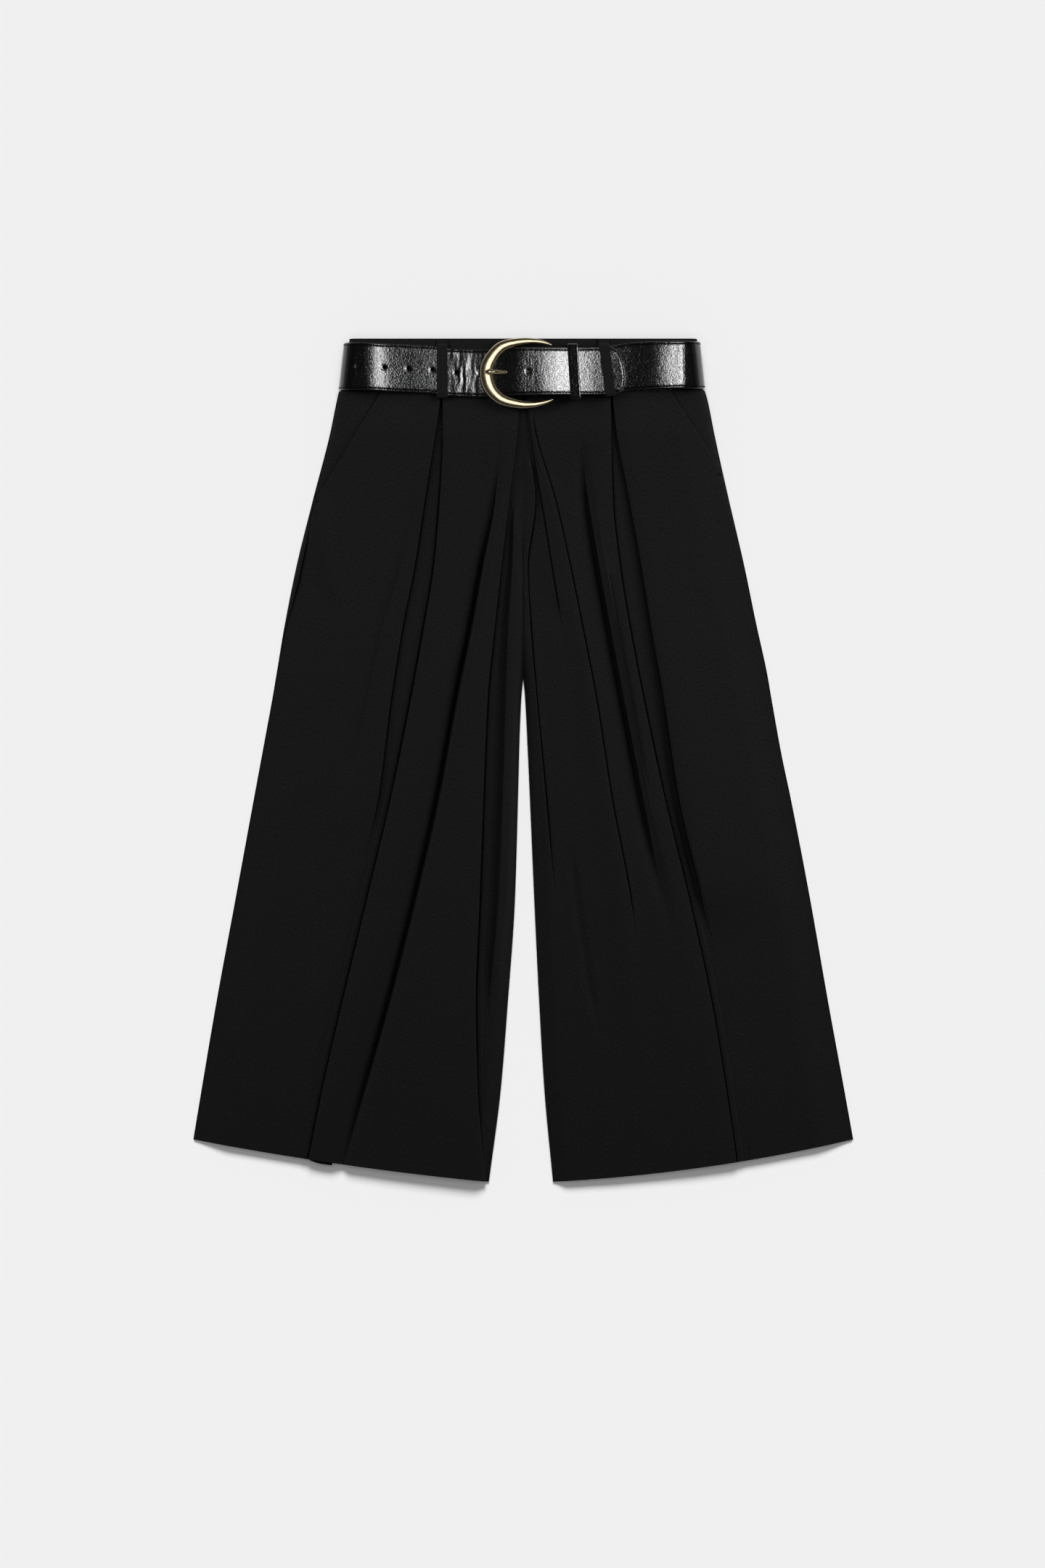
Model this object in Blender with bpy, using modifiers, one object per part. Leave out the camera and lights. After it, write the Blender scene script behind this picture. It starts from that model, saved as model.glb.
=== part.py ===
"""Pleated culottes with a leather belt, laid flat with the front up.

Sizes are in millimetres and become metres when a mesh is made. The model lies on z = 0 with
its waist towards +Y. `down` is the distance below the waistband's top edge, `across` is x.
Left and right in the names are the wearer's, so the right leg lies on the -X side.
"""

import math

import bmesh
import bpy
from mathutils import Vector

MM = 0.001

# ---- driving sizes ---------------------------------------------------------------------
TOP_Y = 435.4            # y of the waistband's top edge
GAP = 0.3                # clearance between pieces
CLOTH = 1.0              # wall of the leg panels
LAYER = 1.4              # from one folded layer to the next
HIP_BELOW = 1.9          # from a front panel down to the hip piece under it
SEAM = 0.15              # half of the gap along the centre seam
SEAM_FLAT = 0.9          # flat strip beside it

BAND = 2.0               # wall of the waistband
STRAP = 2.6              # belt leather
STRAP_WIDTH = 49.0
LOOP_HEIGHT = 24.0       # height of the belted waist, lying flat
WAIST_HALF = 185.6       # half the waist over the belt
WAIST_TAPER = 0.014      # the waist is this much wider at the belt's lower edge

WAIST_SEAM_SIDE = 52.0   # down, where the leg panels start
WAIST_SEAM_CENTRE = 57.0
HEM_SIDE = 827.3
HEM_CENTRE = 871.0
RELAX = 240.0            # below the waist seam the front has settled after this length
BACK_RELAX = 50.0
SIDE_ROUND = 12.0        # width of the rounded side

BAR_X = 12.75            # the buckle's bar
BAR_RADIUS = 1.6
TIP_LENGTH = 12.0        # rounded end of the strap
TIP_X = 105.2

STRAP_Z = LOOP_HEIGHT - STRAP / 2
BAND_Z = LOOP_HEIGHT - STRAP - GAP - BAND / 2
BACK_BAND_Z = STRAP + GAP + BAND / 2
MID_Z = LOOP_HEIGHT / 2
PANEL_TOP_Z = BAND_Z + BAND / 2 - 0.6 - 2 * LAYER - CLOTH / 2
FLAT_FRONT_Z = 1.5 * CLOTH + GAP
BAR_Z = STRAP_Z + STRAP / 2 + GAP + BAR_RADIUS
FIXED_BAR_Z = BAR_Z + BAR_RADIUS + GAP + STRAP / 2
STRAP_LAYER = STRAP + GAP


# ---- small tools -----------------------------------------------------------------------
def table(names, *rows):
    """Named columns from rows; the first column is the one that is looked up."""
    return {name: [row[i] for row in rows] for i, name in enumerate(names)}


def ease(t):
    t = min(1.0, max(0.0, t))
    return t * t * (3.0 - 2.0 * t)


def mix(a, b, t):
    return a + (b - a) * t


def smooth_at(xs, ys, x):
    """Value at x on a monotone cubic through the points."""
    if x <= xs[0]:
        return ys[0] + (ys[1] - ys[0]) / (xs[1] - xs[0]) * (x - xs[0])
    if x >= xs[-1]:
        return ys[-1] + (ys[-1] - ys[-2]) / (xs[-1] - xs[-2]) * (x - xs[-1])
    rise = [(ys[i + 1] - ys[i]) / (xs[i + 1] - xs[i]) for i in range(len(xs) - 1)]
    slope = [rise[0]]
    for before, after in zip(rise, rise[1:]):
        slope.append(0.0 if before * after <= 0 else 2 * before * after / (before + after))
    slope.append(rise[-1])
    i = max(k for k in range(len(xs) - 1) if xs[k] <= x)
    h = xs[i + 1] - xs[i]
    t = (x - xs[i]) / h
    return (ys[i] * (1 + 2 * t) * (1 - t) ** 2 + ys[i + 1] * t * t * (3 - 2 * t)
            + h * slope[i] * t * (1 - t) ** 2 - h * slope[i + 1] * t * t * (1 - t))


def point(across, down, z):
    return Vector((across * MM, (TOP_Y - down) * MM, z * MM))


# ---- scene -----------------------------------------------------------------------------
for old in list(bpy.data.objects):
    bpy.data.objects.remove(old, do_unlink=True)

garment = bpy.data.collections.new("culottes")
cutters = bpy.data.collections.new("cutters")
for folder in (garment, cutters):
    bpy.context.scene.collection.children.link(folder)


def material(name, colour, roughness, metallic=0.0):
    made = bpy.data.materials.new(name)
    made.use_nodes = True
    shader = made.node_tree.nodes["Principled BSDF"]
    shader.inputs["Base Color"].default_value = (*colour, 1.0)
    shader.inputs["Roughness"].default_value = roughness
    shader.inputs["Metallic"].default_value = metallic
    return made


WOVEN = material("black_cloth", (0.012, 0.012, 0.013), 0.9)
LEATHER = material("black_leather", (0.008, 0.008, 0.009), 0.3)
GOLD = material("pale_gold", (0.80, 0.62, 0.34), 0.2, 1.0)


def add_mesh(name, points, faces, finish, folder=garment):
    mesh = bpy.data.meshes.new(name)
    bm = bmesh.new()
    verts = [bm.verts.new(p) for p in points]
    for face in faces:
        bm.faces.new([verts[i] for i in face])
    bmesh.ops.recalc_face_normals(bm, faces=bm.faces)
    bm.to_mesh(mesh)
    bm.free()
    mesh.materials.append(finish)
    thing = bpy.data.objects.new(name, mesh)
    folder.objects.link(thing)
    return thing


def sheet(name, rows, wall, finish):
    """An open surface through rows of equally many points, given its wall by Solidify."""
    wide = len(rows[0])
    points = [p for row in rows for p in row]
    faces = [(r * wide + i, r * wide + i + 1, (r + 1) * wide + i + 1, (r + 1) * wide + i)
             for r in range(len(rows) - 1) for i in range(wide - 1)]
    thing = add_mesh(name, points, faces, finish)
    thicken(thing, wall)
    return thing


def thicken(thing, wall):
    solid = thing.modifiers.new("wall", "SOLIDIFY")
    solid.thickness = wall * MM
    solid.offset = 0.0
    solid.use_even_offset = True
    return solid


def loft(name, rings, finish, closed=False, folder=garment):
    """A closed body through rings of equally many points."""
    wide = len(rings[0])
    points = [p for ring in rings for p in ring]
    count = len(rings)
    faces = []
    for r in range(count if closed else count - 1):
        after = (r + 1) % count
        for i in range(wide):
            j = (i + 1) % wide
            faces.append((r * wide + i, r * wide + j, after * wide + j, after * wide + i))
    if not closed:
        faces.append(tuple(range(wide)))
        faces.append(tuple((count - 1) * wide + i for i in range(wide)))
    return add_mesh(name, points, faces, finish, folder)


def cut(thing, cutter, operation="DIFFERENCE"):
    boolean = thing.modifiers.new(cutter.name, "BOOLEAN")
    boolean.operation = operation
    boolean.object = cutter
    cutter.hide_render = True
    cutter.display_type = "WIRE"


# ---- the lie of the cloth --------------------------------------------------------------
# Outlines: `side` is the silhouette, `inner` the centre seam and below it the inside leg.
RIGHT_OUTLINE = table(
    ("down", "side", "inner"),
    (52, -183.0, 0.0), (56, -183.5, 0.0), (62, -189.2, 0.0), (100, -198.8, 0.0), (167, -215.3, 0.0),
    (235, -232.5, 0.0), (295, -244.7, 0.0), (345, -253.9, 0.0), (370, -258.8, -3.2),
    (407, -265.6, -5.2), (475, -278.2, -7.0), (580, -297.5, -9.5), (685, -316.9, -15.9),
    (775, -332.2, -23.2), (871, -348.0, -35.6))
LEFT_OUTLINE = table(
    ("down", "side", "inner"),
    (52, 183.0, 0.0), (56, 183.5, 0.0), (62, 188.6, 0.0), (100, 197.6, 0.0), (167, 212.6, 0.0),
    (235, 228.4, 0.0), (295, 240.8, 0.0), (345, 251.8, 0.0), (370, 256.1, 3.5),
    (430, 266.9, 6.8), (475, 276.4, 7.9), (580, 296.6, 12.0), (685, 315.0, 16.5),
    (775, 331.5, 21.8), (871, 348.8, 30.8))

# Slanted pocket openings, from the waist to the side seam.
RIGHT_POCKET = {"top": (-147.0, 55.5), "end": (-212.2, 163.5)}
LEFT_POCKET = {"top": (153.0, 55.5), "end": (206.3, 137.3)}

# Where each fold's visible edge runs.
RIGHT_FOLDS = table(
    ("down", "pleat_side", "pleat_middle", "soft_fold", "centre_outer", "centre_inner"),
    (55, -84.4, -83.2, -25.0, -0.5, -4.9),
    (100, -91.1, -82.9, -25.0, -3.8, -7.2),
    (167, -102.0, -86.2, -29.5, -13.9, -9.6),
    (235, -112.5, -92.2, -42.0, -22.5, -11.3),
    (295, -124.5, -102.0, -52.9, -29.3, -15.4),
    (370, -136.5, -115.5, -68.3, -36.8, -18.0),
    (475, -150.4, -136.9, -87.8, -41.3, -21.2),
    (580, -176.0, -161.6, -111.8, -45.2, -25.7),
    (685, -201.0, -186.8, -140.3, -49.1, -34.0),
    (775, -222.0, -207.4, -167.3, -45.0, -38.5),
    (871, -241.0, -226.5, -192.0, -38.5, -42.5))
LEFT_FOLDS = table(
    ("down", "centre_inner", "centre_outer", "crease", "soft_fold", "pleat_middle", "pleat_side"),
    (55, 4.9, 3.2, 15.5, 59.3, 90.0, 91.4),
    (100, 8.0, 9.8, 20.5, 60.0, 90.8, 97.1),
    (167, 14.3, 19.5, 33.0, 67.9, 92.6, 109.9),
    (235, 8.6, 30.4, 48.4, 78.4, 99.8, 122.3),
    (295, 9.4, 40.5, 60.4, 89.3, 109.5, 132.0),
    (370, 15.4, 48.0, 75.0, 103.9, 123.8, 145.1),
    (475, 23.5, 59.3, 91.5, 123.8, 146.3, 161.3),
    (580, 32.6, 70.5, 111.0, 146.3, 171.8, 186.0),
    (685, 44.0, 81.8, 123.0, 164.3, 194.6, 209.0),
    (775, 51.8, 93.0, 134.0, 178.5, 209.6, 224.0),
    (871, 59.3, 103.0, 144.0, 192.0, 223.5, 238.0))

# How each fold lives: which side lies on top, where it opens and closes (down), how far it
# turns under (degrees) and how deep it laps at the waist and at the hem.
NEVER = 5000.0
LIFE = ("fold", "on_top", "opens", "full", "closing", "closed", "turn", "lap_top", "lap_hem")


def lives(*rows):
    """Each fold's row as named columns, in order across the leg."""
    return {row[0]: dict(zip(LIFE, row)) for row in rows}


RIGHT_LIVES = lives(
    ("pleat_side", "left", -NEVER, 0, 430, 545, 180, 9.0, 12.0),
    ("pleat_middle", "right", -NEVER, 0, NEVER, 2 * NEVER, 180, 9.0, 21.0),
    ("soft_fold", "right", 95, 200, NEVER, 2 * NEVER, 62, 1.0, 1.0),
    ("centre_outer", "left", -NEVER, 0, NEVER, 2 * NEVER, 180, 6.0, 8.0),
    ("centre_inner", "right", 155, 245, 560, 670, 180, 5.0, 5.0))
LEFT_LIVES = lives(
    ("centre_inner", "left", 130, 225, 470, 590, 180, 1.6, 5.0),
    ("centre_outer", "right", -NEVER, 0, 160, 265, 180, 2.5, 2.5),
    ("crease", "left", 95, 250, 480, 610, 180, 7.0, 9.0),
    ("soft_fold", "right", 95, 200, 480, 610, 62, 1.0, 1.0),
    ("pleat_middle", "left", -NEVER, 0, NEVER, 2 * NEVER, 180, 7.5, 16.0),
    ("pleat_side", "right", -NEVER, 0, 430, 570, 180, 9.0, 12.0))

RIGHT = {
    "sign": -1, "outline": RIGHT_OUTLINE, "pocket": RIGHT_POCKET,
    "folds": RIGHT_FOLDS, "lives": RIGHT_LIVES, "bow": 3.6,
    "side_shows": ((167, 2.6), (215, 4.4), (270, 4.0), (300, 1.4), (345, 0.7), (871, 0.7)),
}
LEFT = {
    "sign": 1, "outline": LEFT_OUTLINE, "pocket": LEFT_POCKET,
    "folds": LEFT_FOLDS, "lives": LEFT_LIVES, "bow": 6.8,
    "side_shows": ((137, 0.8), (871, 0.7)),
}


def front_height(down):
    """Middle of the front's lowest layer: high at the belt, then down on the back."""
    s = min(1.0, max(0.0, (down - WAIST_SEAM_CENTRE) / RELAX))
    return mix(FLAT_FRONT_Z, PANEL_TOP_Z, (1 - s) ** 2.2)


def back_height(down):
    s = min(1.0, max(0.0, (down - WAIST_SEAM_SIDE) / BACK_RELAX))
    return mix(CLOTH / 2, BACK_BAND_Z, (1 - s) ** 2)


def side_height(down):
    return (front_height(down) + back_height(down)) / 2


def hip_share(down, leg):
    """1 where the hip piece takes the side seam, 0 below the pocket."""
    end = leg["pocket"]["end"][1]
    return 1 - ease((down - end - 5) / 60)


def outline(leg, name, down):
    return smooth_at(leg["outline"]["down"], leg["outline"][name], down)


def side_seam(leg, down):
    shows = leg["side_shows"]
    inset = smooth_at([row[0] for row in shows], [row[1] for row in shows], max(down, shows[0][0]))
    return outline(leg, "side", down) - leg["sign"] * inset


def rounded(distance):
    """Rise of the rounded side, 0 at the seam and 1 past SIDE_ROUND."""
    t = min(1.0, max(0.0, distance / SIDE_ROUND))
    return math.sqrt(1 - (1 - t) ** 2)


def seam_offset(height):
    """Half the step between two walls that meet at the side seam."""
    first_rise = 0.5 * height
    slope = math.atan2(first_rise, ROUND_STEPS[1] * SIDE_ROUND)
    return GAP / 2 + CLOTH / 2 * math.cos(slope)


def front_base(leg, across, down):
    seam_z = side_height(down)
    top = front_height(down)
    start = seam_z + seam_offset(top - seam_z)
    distance = abs(side_seam(leg, down) - across)
    return start + max(0.0, top - start) * rounded(distance)


def back_base(leg, across, down):
    seam_z = side_height(down)
    low = back_height(down)
    start = seam_z - seam_offset(seam_z - low) - HIP_BELOW * hip_share(down, leg)
    start = max(start, low)
    distance = abs(outline(leg, "side", down) - across)
    return start - (start - low) * rounded(distance)


def section_down(leg, share, across):
    """`down` of a section at x: sections tilt and bow more towards the hem."""
    side_down = mix(WAIST_SEAM_SIDE, HEM_SIDE, share)
    inner_down = mix(WAIST_SEAM_CENTRE, HEM_CENTRE, share)
    side = outline(leg, "side", side_down)
    inner = outline(leg, "inner", inner_down)
    u = (across - side) / (inner - side)
    u = min(1.0, max(0.0, u))
    return mix(side_down, inner_down, u) + leg["bow"] * share ** 2 * 4 * u * (1 - u)


def settle(leg, share, curve, guess):
    """x where a curve x(down) crosses a section."""
    for _ in range(5):
        guess = curve(section_down(leg, share, guess))
    return guess


# ---- folds -----------------------------------------------------------------------------
CHORD = LAYER / (2 * math.sin(math.radians(45)))   # two chords make a U-turn one LAYER high
LEAST_BACK = 0.5         # shortest way back under
TURN_FIRST = 1.6         # a fold turns under this much sooner than it laps
LAP_START = 0.55
LAP_EXTRA = 1.2          # the layer on top is held flat this far past the lap
ROUND_STEPS = (0.0, 0.134, 0.5, 1.0)   # sections over the rounded side


def fold_profile(turn, lap):
    """Six points down over a fold whose left side lies on top, and the drop."""
    headings = (turn / 4, 3 * turn / 4, turn, 3 * turn / 4, turn / 4)
    lengths = (CHORD, CHORD, LEAST_BACK + lap, CHORD, CHORD)
    x, z = 0.0, 0.0
    points = [(x, z)]
    for heading, length in zip(headings, lengths):
        x += length * math.cos(math.radians(heading))
        z -= length * math.sin(math.radians(heading))
        points.append((x, z))
    edge = points[1][0] + 0.7 * CLOTH
    middle = points[-1][0] / 2
    anchor = mix(middle, edge, ease(turn / 150))
    return [(px - anchor, pz - z) for px, pz in points], -z


def fold_points(leg, name, share):
    """(x, level) over one fold of a section, from left to right, with its lap's far end."""
    life = leg["lives"][name]
    folds = leg["folds"]
    edge = settle(leg, share, lambda d: smooth_at(folds["down"], folds[name], d), 0.0)
    down = section_down(leg, share, edge)
    opening = (down - life["opens"]) / (life["full"] - life["opens"])
    closing = (life["closed"] - down) / (life["closed"] - life["closing"])
    alive = min(1.0, max(0.0, min(opening, closing)))
    turned = ease(TURN_FIRST * alive)
    angle = life["turn"] * turned
    lap = mix(life["lap_top"], life["lap_hem"], share) * ease((alive - LAP_START) / (1 - LAP_START))
    profile, drop = fold_profile(angle, lap)
    lifted = 0.0
    if name == "crease" and down < life["full"]:
        lifted = 2 * LAYER * (1 - turned)
    lap_end = (profile[0][0] - lap - LAP_EXTRA, drop)
    points = [lap_end] + profile
    if life["on_top"] == "right":
        points = [(-x, z) for x, z in reversed(points)]
    return [(edge + x, z + lifted) for x, z in points]


def panel_between(left, right, count, sag=0.0):
    """Evenly spaced (x, level) points between two ends."""
    (x0, z0), (x1, z1) = left, right
    inner = []
    for k in range(1, count + 1):
        t = k / (count + 1)
        inner.append((mix(x0, x1, t), mix(z0, z1, t) - sag * 4 * t * (1 - t)))
    return inner


def pocket_edge(leg, down):
    (x0, d0), (x1, d1) = leg["pocket"]["top"], leg["pocket"]["end"]
    return x0 + (x1 - x0) * (down - d0) / (d1 - d0)


def front_edge(leg, down):
    """The front panel's outer edge: the pocket opening, then the side seam."""
    seam = side_seam(leg, down)
    if down >= leg["pocket"]["end"][1]:
        return seam
    pocket = pocket_edge(leg, down)
    return max(seam, pocket) if leg["sign"] < 0 else min(seam, pocket)


def front_section(leg, share):
    """One section of a front panel, left to right, as (x, level) points."""
    sign = leg["sign"]
    outer = settle(leg, share, lambda d: front_edge(leg, d), sign * 200.0)
    inner = settle(leg, share, lambda d: outline(leg, "inner", d) + sign * SEAM, 0.0)
    rim = [(outer - sign * SIDE_ROUND * step, 0.0) for step in ROUND_STEPS]
    seam = [(inner + sign * SEAM_FLAT, 0.0), (inner, 0.0)]
    groups = [fold_points(leg, name, share) for name in leg["lives"]]
    ends = [rim] + groups + [seam] if sign < 0 else [seam[::-1]] + groups + [rim[::-1]]
    section = list(ends[0])
    for before, after in zip(ends, ends[1:]):
        if before is rim or after is ends[-1] and sign > 0:
            section += panel_between(before[-1], after[0], 2, 0.2)
        else:
            section += panel_between(before[-1], after[0], 1)
        section += after
    return section


FIRST_SHARE = 0.012      # the second section, close below the waist seam
LEG_ROWS = 17            # sections below the pocket


def front_rows(leg, shares):
    rows = []
    for share in shares:
        row = []
        for across, level in front_section(leg, share):
            down = section_down(leg, share, across)
            row.append(point(across, down, front_base(leg, across, down) + level))
        rows.append(row)
    return rows


def pocket_share(leg):
    return (leg["pocket"]["end"][1] - WAIST_SEAM_SIDE) / (HEM_SIDE - WAIST_SEAM_SIDE)


def pocket_shares(leg):
    steps = (0.3, 0.55, 0.76, 0.9, 0.97)
    return [0.0, FIRST_SHARE] + [mix(FIRST_SHARE, pocket_share(leg), t) for t in steps]


def front_shares(leg):
    end = pocket_share(leg)
    lower = [mix(end, 1.0, (k / LEG_ROWS) ** 1.15) for k in range(1, LEG_ROWS + 1)]
    return pocket_shares(leg) + [end] + lower


def build_front(name, leg):
    return sheet(name, front_rows(leg, front_shares(leg)), CLOTH, WOVEN)


# ---- the other panels ------------------------------------------------------------------
HIP_UNDER = 13.0         # how far a hip piece reaches under the pocket edge
HIP_INSET = 0.3          # its outer edge lies this far inside the seam
BACK_SHARES = (0.0, FIRST_SHARE, 0.03, 0.055, 0.085, 0.13, 0.18, 0.24, 0.31, 0.38, 0.45, 0.55,
               0.66, 0.78, 0.9, 1.0)


def build_hip(name, leg):
    """The side piece that shows outside the pocket opening."""
    sign = leg["sign"]
    rows = []
    for share in pocket_shares(leg):
        seam = settle(leg, share, lambda d: side_seam(leg, d), sign * 200.0)
        inside = settle(leg, share, lambda d: pocket_edge(leg, d) - sign * HIP_UNDER, sign * 150.0)
        xs = [seam - sign * (HIP_INSET + SIDE_ROUND * step) for step in ROUND_STEPS[:3]]
        xs += [mix(xs[-1], inside, t) for t in (0.35, 0.7, 1.0)]
        row = []
        for across in xs:
            down = section_down(leg, share, across)
            row.append(point(across, down, front_base(leg, across, down) - HIP_BELOW))
        rows.append(row)
    return sheet(name, rows, CLOTH, WOVEN)


def build_back(name, leg):
    sign = leg["sign"]
    rows = []
    for share in BACK_SHARES:
        side = settle(leg, share, lambda d: outline(leg, "side", d), sign * 200.0)
        inner = settle(leg, share, lambda d: outline(leg, "inner", d) + sign * SEAM, 0.0)
        xs = [side - sign * SIDE_ROUND * step for step in ROUND_STEPS]
        xs += [mix(xs[-1], inner, t) for t in (0.33, 0.67, 1.0)]
        row = []
        for across in xs:
            down = section_down(leg, share, across)
            row.append(point(across, down, back_base(leg, across, down)))
        rows.append(row)
    return sheet(name, rows, CLOTH, WOVEN)


def waist_x(across, down, mid=30.0):
    """The waist widens a little downwards."""
    return across * (1 + WAIST_TAPER * (down - mid) / (STRAP_WIDTH / 2))


BAND_RAISED = 1.2        # the waistband ends this much higher at the sides


def build_waistband(name, upper):
    """Half of the waistband: a wall flat over the body, with rounded sides."""
    side = 1 if upper else -1
    radius = BAND_Z - MID_Z
    flat = WAIST_HALF - STRAP - GAP - BAND / 2 - radius
    first = math.asin(1.25 * GAP / radius)
    profile = []
    for angle in [first + (math.pi / 2 - first) * k / 4 for k in range(4)]:
        profile.append((-flat - radius * math.cos(angle), MID_Z + side * radius * math.sin(angle)))
    profile += [(flat * t, MID_Z + side * radius) for t in (-1, -0.6, -0.2, 0.2, 0.6, 1)]
    profile += [(-x, z) for x, z in reversed(profile[:4])]
    rows = []
    for t in (0.0, 0.5, 1.0):
        row = []
        for across, z in profile:
            u = min(1.0, abs(across) / WAIST_HALF)
            bottom = mix(WAIST_SEAM_CENTRE, WAIST_SEAM_SIDE - BAND_RAISED, u) - GAP
            down = bottom * t
            row.append(point(waist_x(across, down), down, z))
        rows.append(row)
    return sheet(name, rows, BAND, WOVEN)


# ---- belt ------------------------------------------------------------------------------
FREE_MID = table(
    ("across", "down"),
    (-184.5, 29.5), (-169.0, 28.5), (-135.8, 30.2), (-91.0, 32.5), (-77.0, 34.9),
    (-45.0, 35.9), (-15.0, 34.4), (75.0, 33.9), (105.0, 31.8))
FIXED_MID = table(
    ("across", "down"),
    (12.75, 34.0), (60.0, 34.0), (76.0, 33.0), (97.0, 31.0), (115.5, 28.5), (166.0, 27.0), (184.5, 28.5))

BUCKLE_DOWN = 34.0       # the strap's middle where it folds round the bar
FOLD_BACK_END = 41.0     # the strap's end, folded back under the bar
FOLD_COVER = {"from": 61.0, "over": 16.0}   # the outer layer comes down past that end
BAR_COVER = 20.0         # and down from the bar in this length
RAMP_START = -25.0       # the free end climbs from here to the bar
RAMP_END = 10.0
KEEPER_END = 84.0        # past the keeper the strap runs flat
ARC_STEPS = 8            # sections in each half turn


def fixed_z(across):
    """Middle of the fixed strap: over the bar, over its own folded end, then on the band."""
    over_end = STRAP_LAYER * (1 - ease((across - FOLD_COVER["from"]) / FOLD_COVER["over"]))
    over_bar = (FIXED_BAR_Z - STRAP_Z - STRAP_LAYER) * (1 - ease((across - BAR_X - 1) / BAR_COVER))
    return STRAP_Z + over_end + over_bar


def free_z(across):
    if across < RAMP_END:
        climb = ease((across - RAMP_START) / (RAMP_END - RAMP_START))
        return mix(STRAP_Z, FIXED_BAR_Z + STRAP_LAYER, climb)
    return fixed_z(max(across, BAR_X)) + STRAP_LAYER


def spaced(start, end, step):
    count = max(1, round(abs(end - start) / step))
    return [mix(start, end, k / count) for k in range(count + 1)]


def strap_route():
    """(x, z, mid, half width) from the folded-back end round the waist to the rounded tip."""
    def mid_of(columns, across):
        return smooth_at(columns["across"], columns["down"], across)

    half = STRAP_WIDTH / 2
    radius = MID_Z - STRAP / 2
    straight = WAIST_HALF - LOOP_HEIGHT / 2
    route = []

    def arc(centre_x, centre_z, size, start, mid):
        for k in range(1, ARC_STEPS):
            angle = math.radians(start - 180 * k / ARC_STEPS)
            across = centre_x + size * math.cos(angle)
            route.append((across, centre_z + size * math.sin(angle), mid, half))

    for x in spaced(FOLD_BACK_END, BAR_X + 1, 9):
        route.append((x, STRAP_Z, BUCKLE_DOWN, half))
    arc(BAR_X, BAR_Z, FIXED_BAR_Z - BAR_Z, -90, BUCKLE_DOWN)
    for x in spaced(BAR_X, KEEPER_END, 5) + spaced(KEEPER_END + 16, straight, 18):
        route.append((x, fixed_z(x), mid_of(FIXED_MID, x), half))
    right_mid = mid_of(FIXED_MID, straight)
    left_mid = mid_of(FREE_MID, -straight)
    arc(straight, MID_Z, radius, 90, right_mid)
    for x in spaced(straight, -straight, 70):
        t = (straight - x) / (2 * straight)
        route.append((x, STRAP / 2, mix(right_mid, left_mid, t), half))
    arc(-straight, MID_Z, radius, -90, left_mid)
    tip_start = TIP_X - TIP_LENGTH
    xs = spaced(-straight, RAMP_START - 4, 17) + spaced(RAMP_START, RAMP_END, 4.2)
    xs += [BAR_X + 1] + spaced(BAR_X + 5, KEEPER_END, 5.5) + [tip_start]
    for x in xs:
        route.append((x, free_z(x), mid_of(FREE_MID, x), half))
    for angle in map(math.radians, (25, 45, 62, 76, 85)):
        x = tip_start + TIP_LENGTH * math.sin(angle)
        route.append((x, free_z(x), mid_of(FREE_MID, x), half * math.cos(angle)))
    return route


def build_strap():
    rows = []
    for across, z, mid, half in strap_route():
        downs = (mid - half, mid, mid + half)
        rows.append([point(waist_x(across, d, mid), d, z) for d in downs])
    return sheet("belt_strap", rows, STRAP, LEATHER)


HOLES = {"first": -143.3, "pitch": 24.7, "radius": 2.2, "count": 7, "prong": 5}
PUNCH = {"depth": 4.9, "raised": 0.2}
EYE_SLOT = {"from": 7.5, "to": 18.0, "down": 34.4, "width": 4.6, "low": 18.0}


def solid_cutter(name, bm):
    mesh = bpy.data.meshes.new(name)
    bm.to_mesh(mesh)
    bm.free()
    cutter = bpy.data.objects.new(name, mesh)
    cutters.objects.link(cutter)
    return cutter


def punch_strap(strap, prong_cutter):
    """Round holes at one pitch, a slot for the prong's eye and the hole the prong fills."""
    radius = HOLES["radius"] * MM
    bm = bmesh.new()
    for k in range(HOLES["count"]):
        if k == HOLES["prong"]:
            continue
        across = HOLES["first"] + HOLES["pitch"] * k
        down = smooth_at(FREE_MID["across"], FREE_MID["down"], across)
        made = bmesh.ops.create_cone(bm, cap_ends=True, segments=10, radius1=radius,
                                     radius2=radius, depth=PUNCH["depth"] * MM)
        centre = point(across, down, free_z(across) + PUNCH["raised"])
        bmesh.ops.translate(bm, verts=made["verts"], vec=centre)
    cut(strap, solid_cutter("punch", bm))

    low = EYE_SLOT["low"]
    high = FIXED_BAR_Z + STRAP / 2 + GAP / 2
    bm = bmesh.new()
    bmesh.ops.create_cube(bm, size=1.0)
    size = Vector((EYE_SLOT["to"] - EYE_SLOT["from"], EYE_SLOT["width"], high - low)) * MM
    bmesh.ops.scale(bm, vec=size, verts=bm.verts)
    middle = (EYE_SLOT["from"] + EYE_SLOT["to"]) / 2
    bmesh.ops.translate(bm, verts=bm.verts, vec=point(middle, EYE_SLOT["down"], (low + high) / 2))
    cut(strap, solid_cutter("eye_slot", bm))
    cut(strap, prong_cutter)


def ring_along(route, index, half_wide, half_high, sides=8):
    """An ellipse square to a route in the x-z plane; the route's rows hold (x, down, z)."""
    x, down, z = route[index]
    x0, _, z0 = route[max(index - 1, 0)]
    x1, _, z1 = route[min(index + 1, len(route) - 1)]
    length = math.hypot(x1 - x0, z1 - z0)
    nx, nz = -(z1 - z0) / length, (x1 - x0) / length
    ring = []
    for k in range(sides):
        angle = 2 * math.pi * k / sides
        up = half_high * math.sin(angle)
        ring.append(point(x + nx * up, down + half_wide * math.cos(angle), z + nz * up))
    return ring


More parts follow.
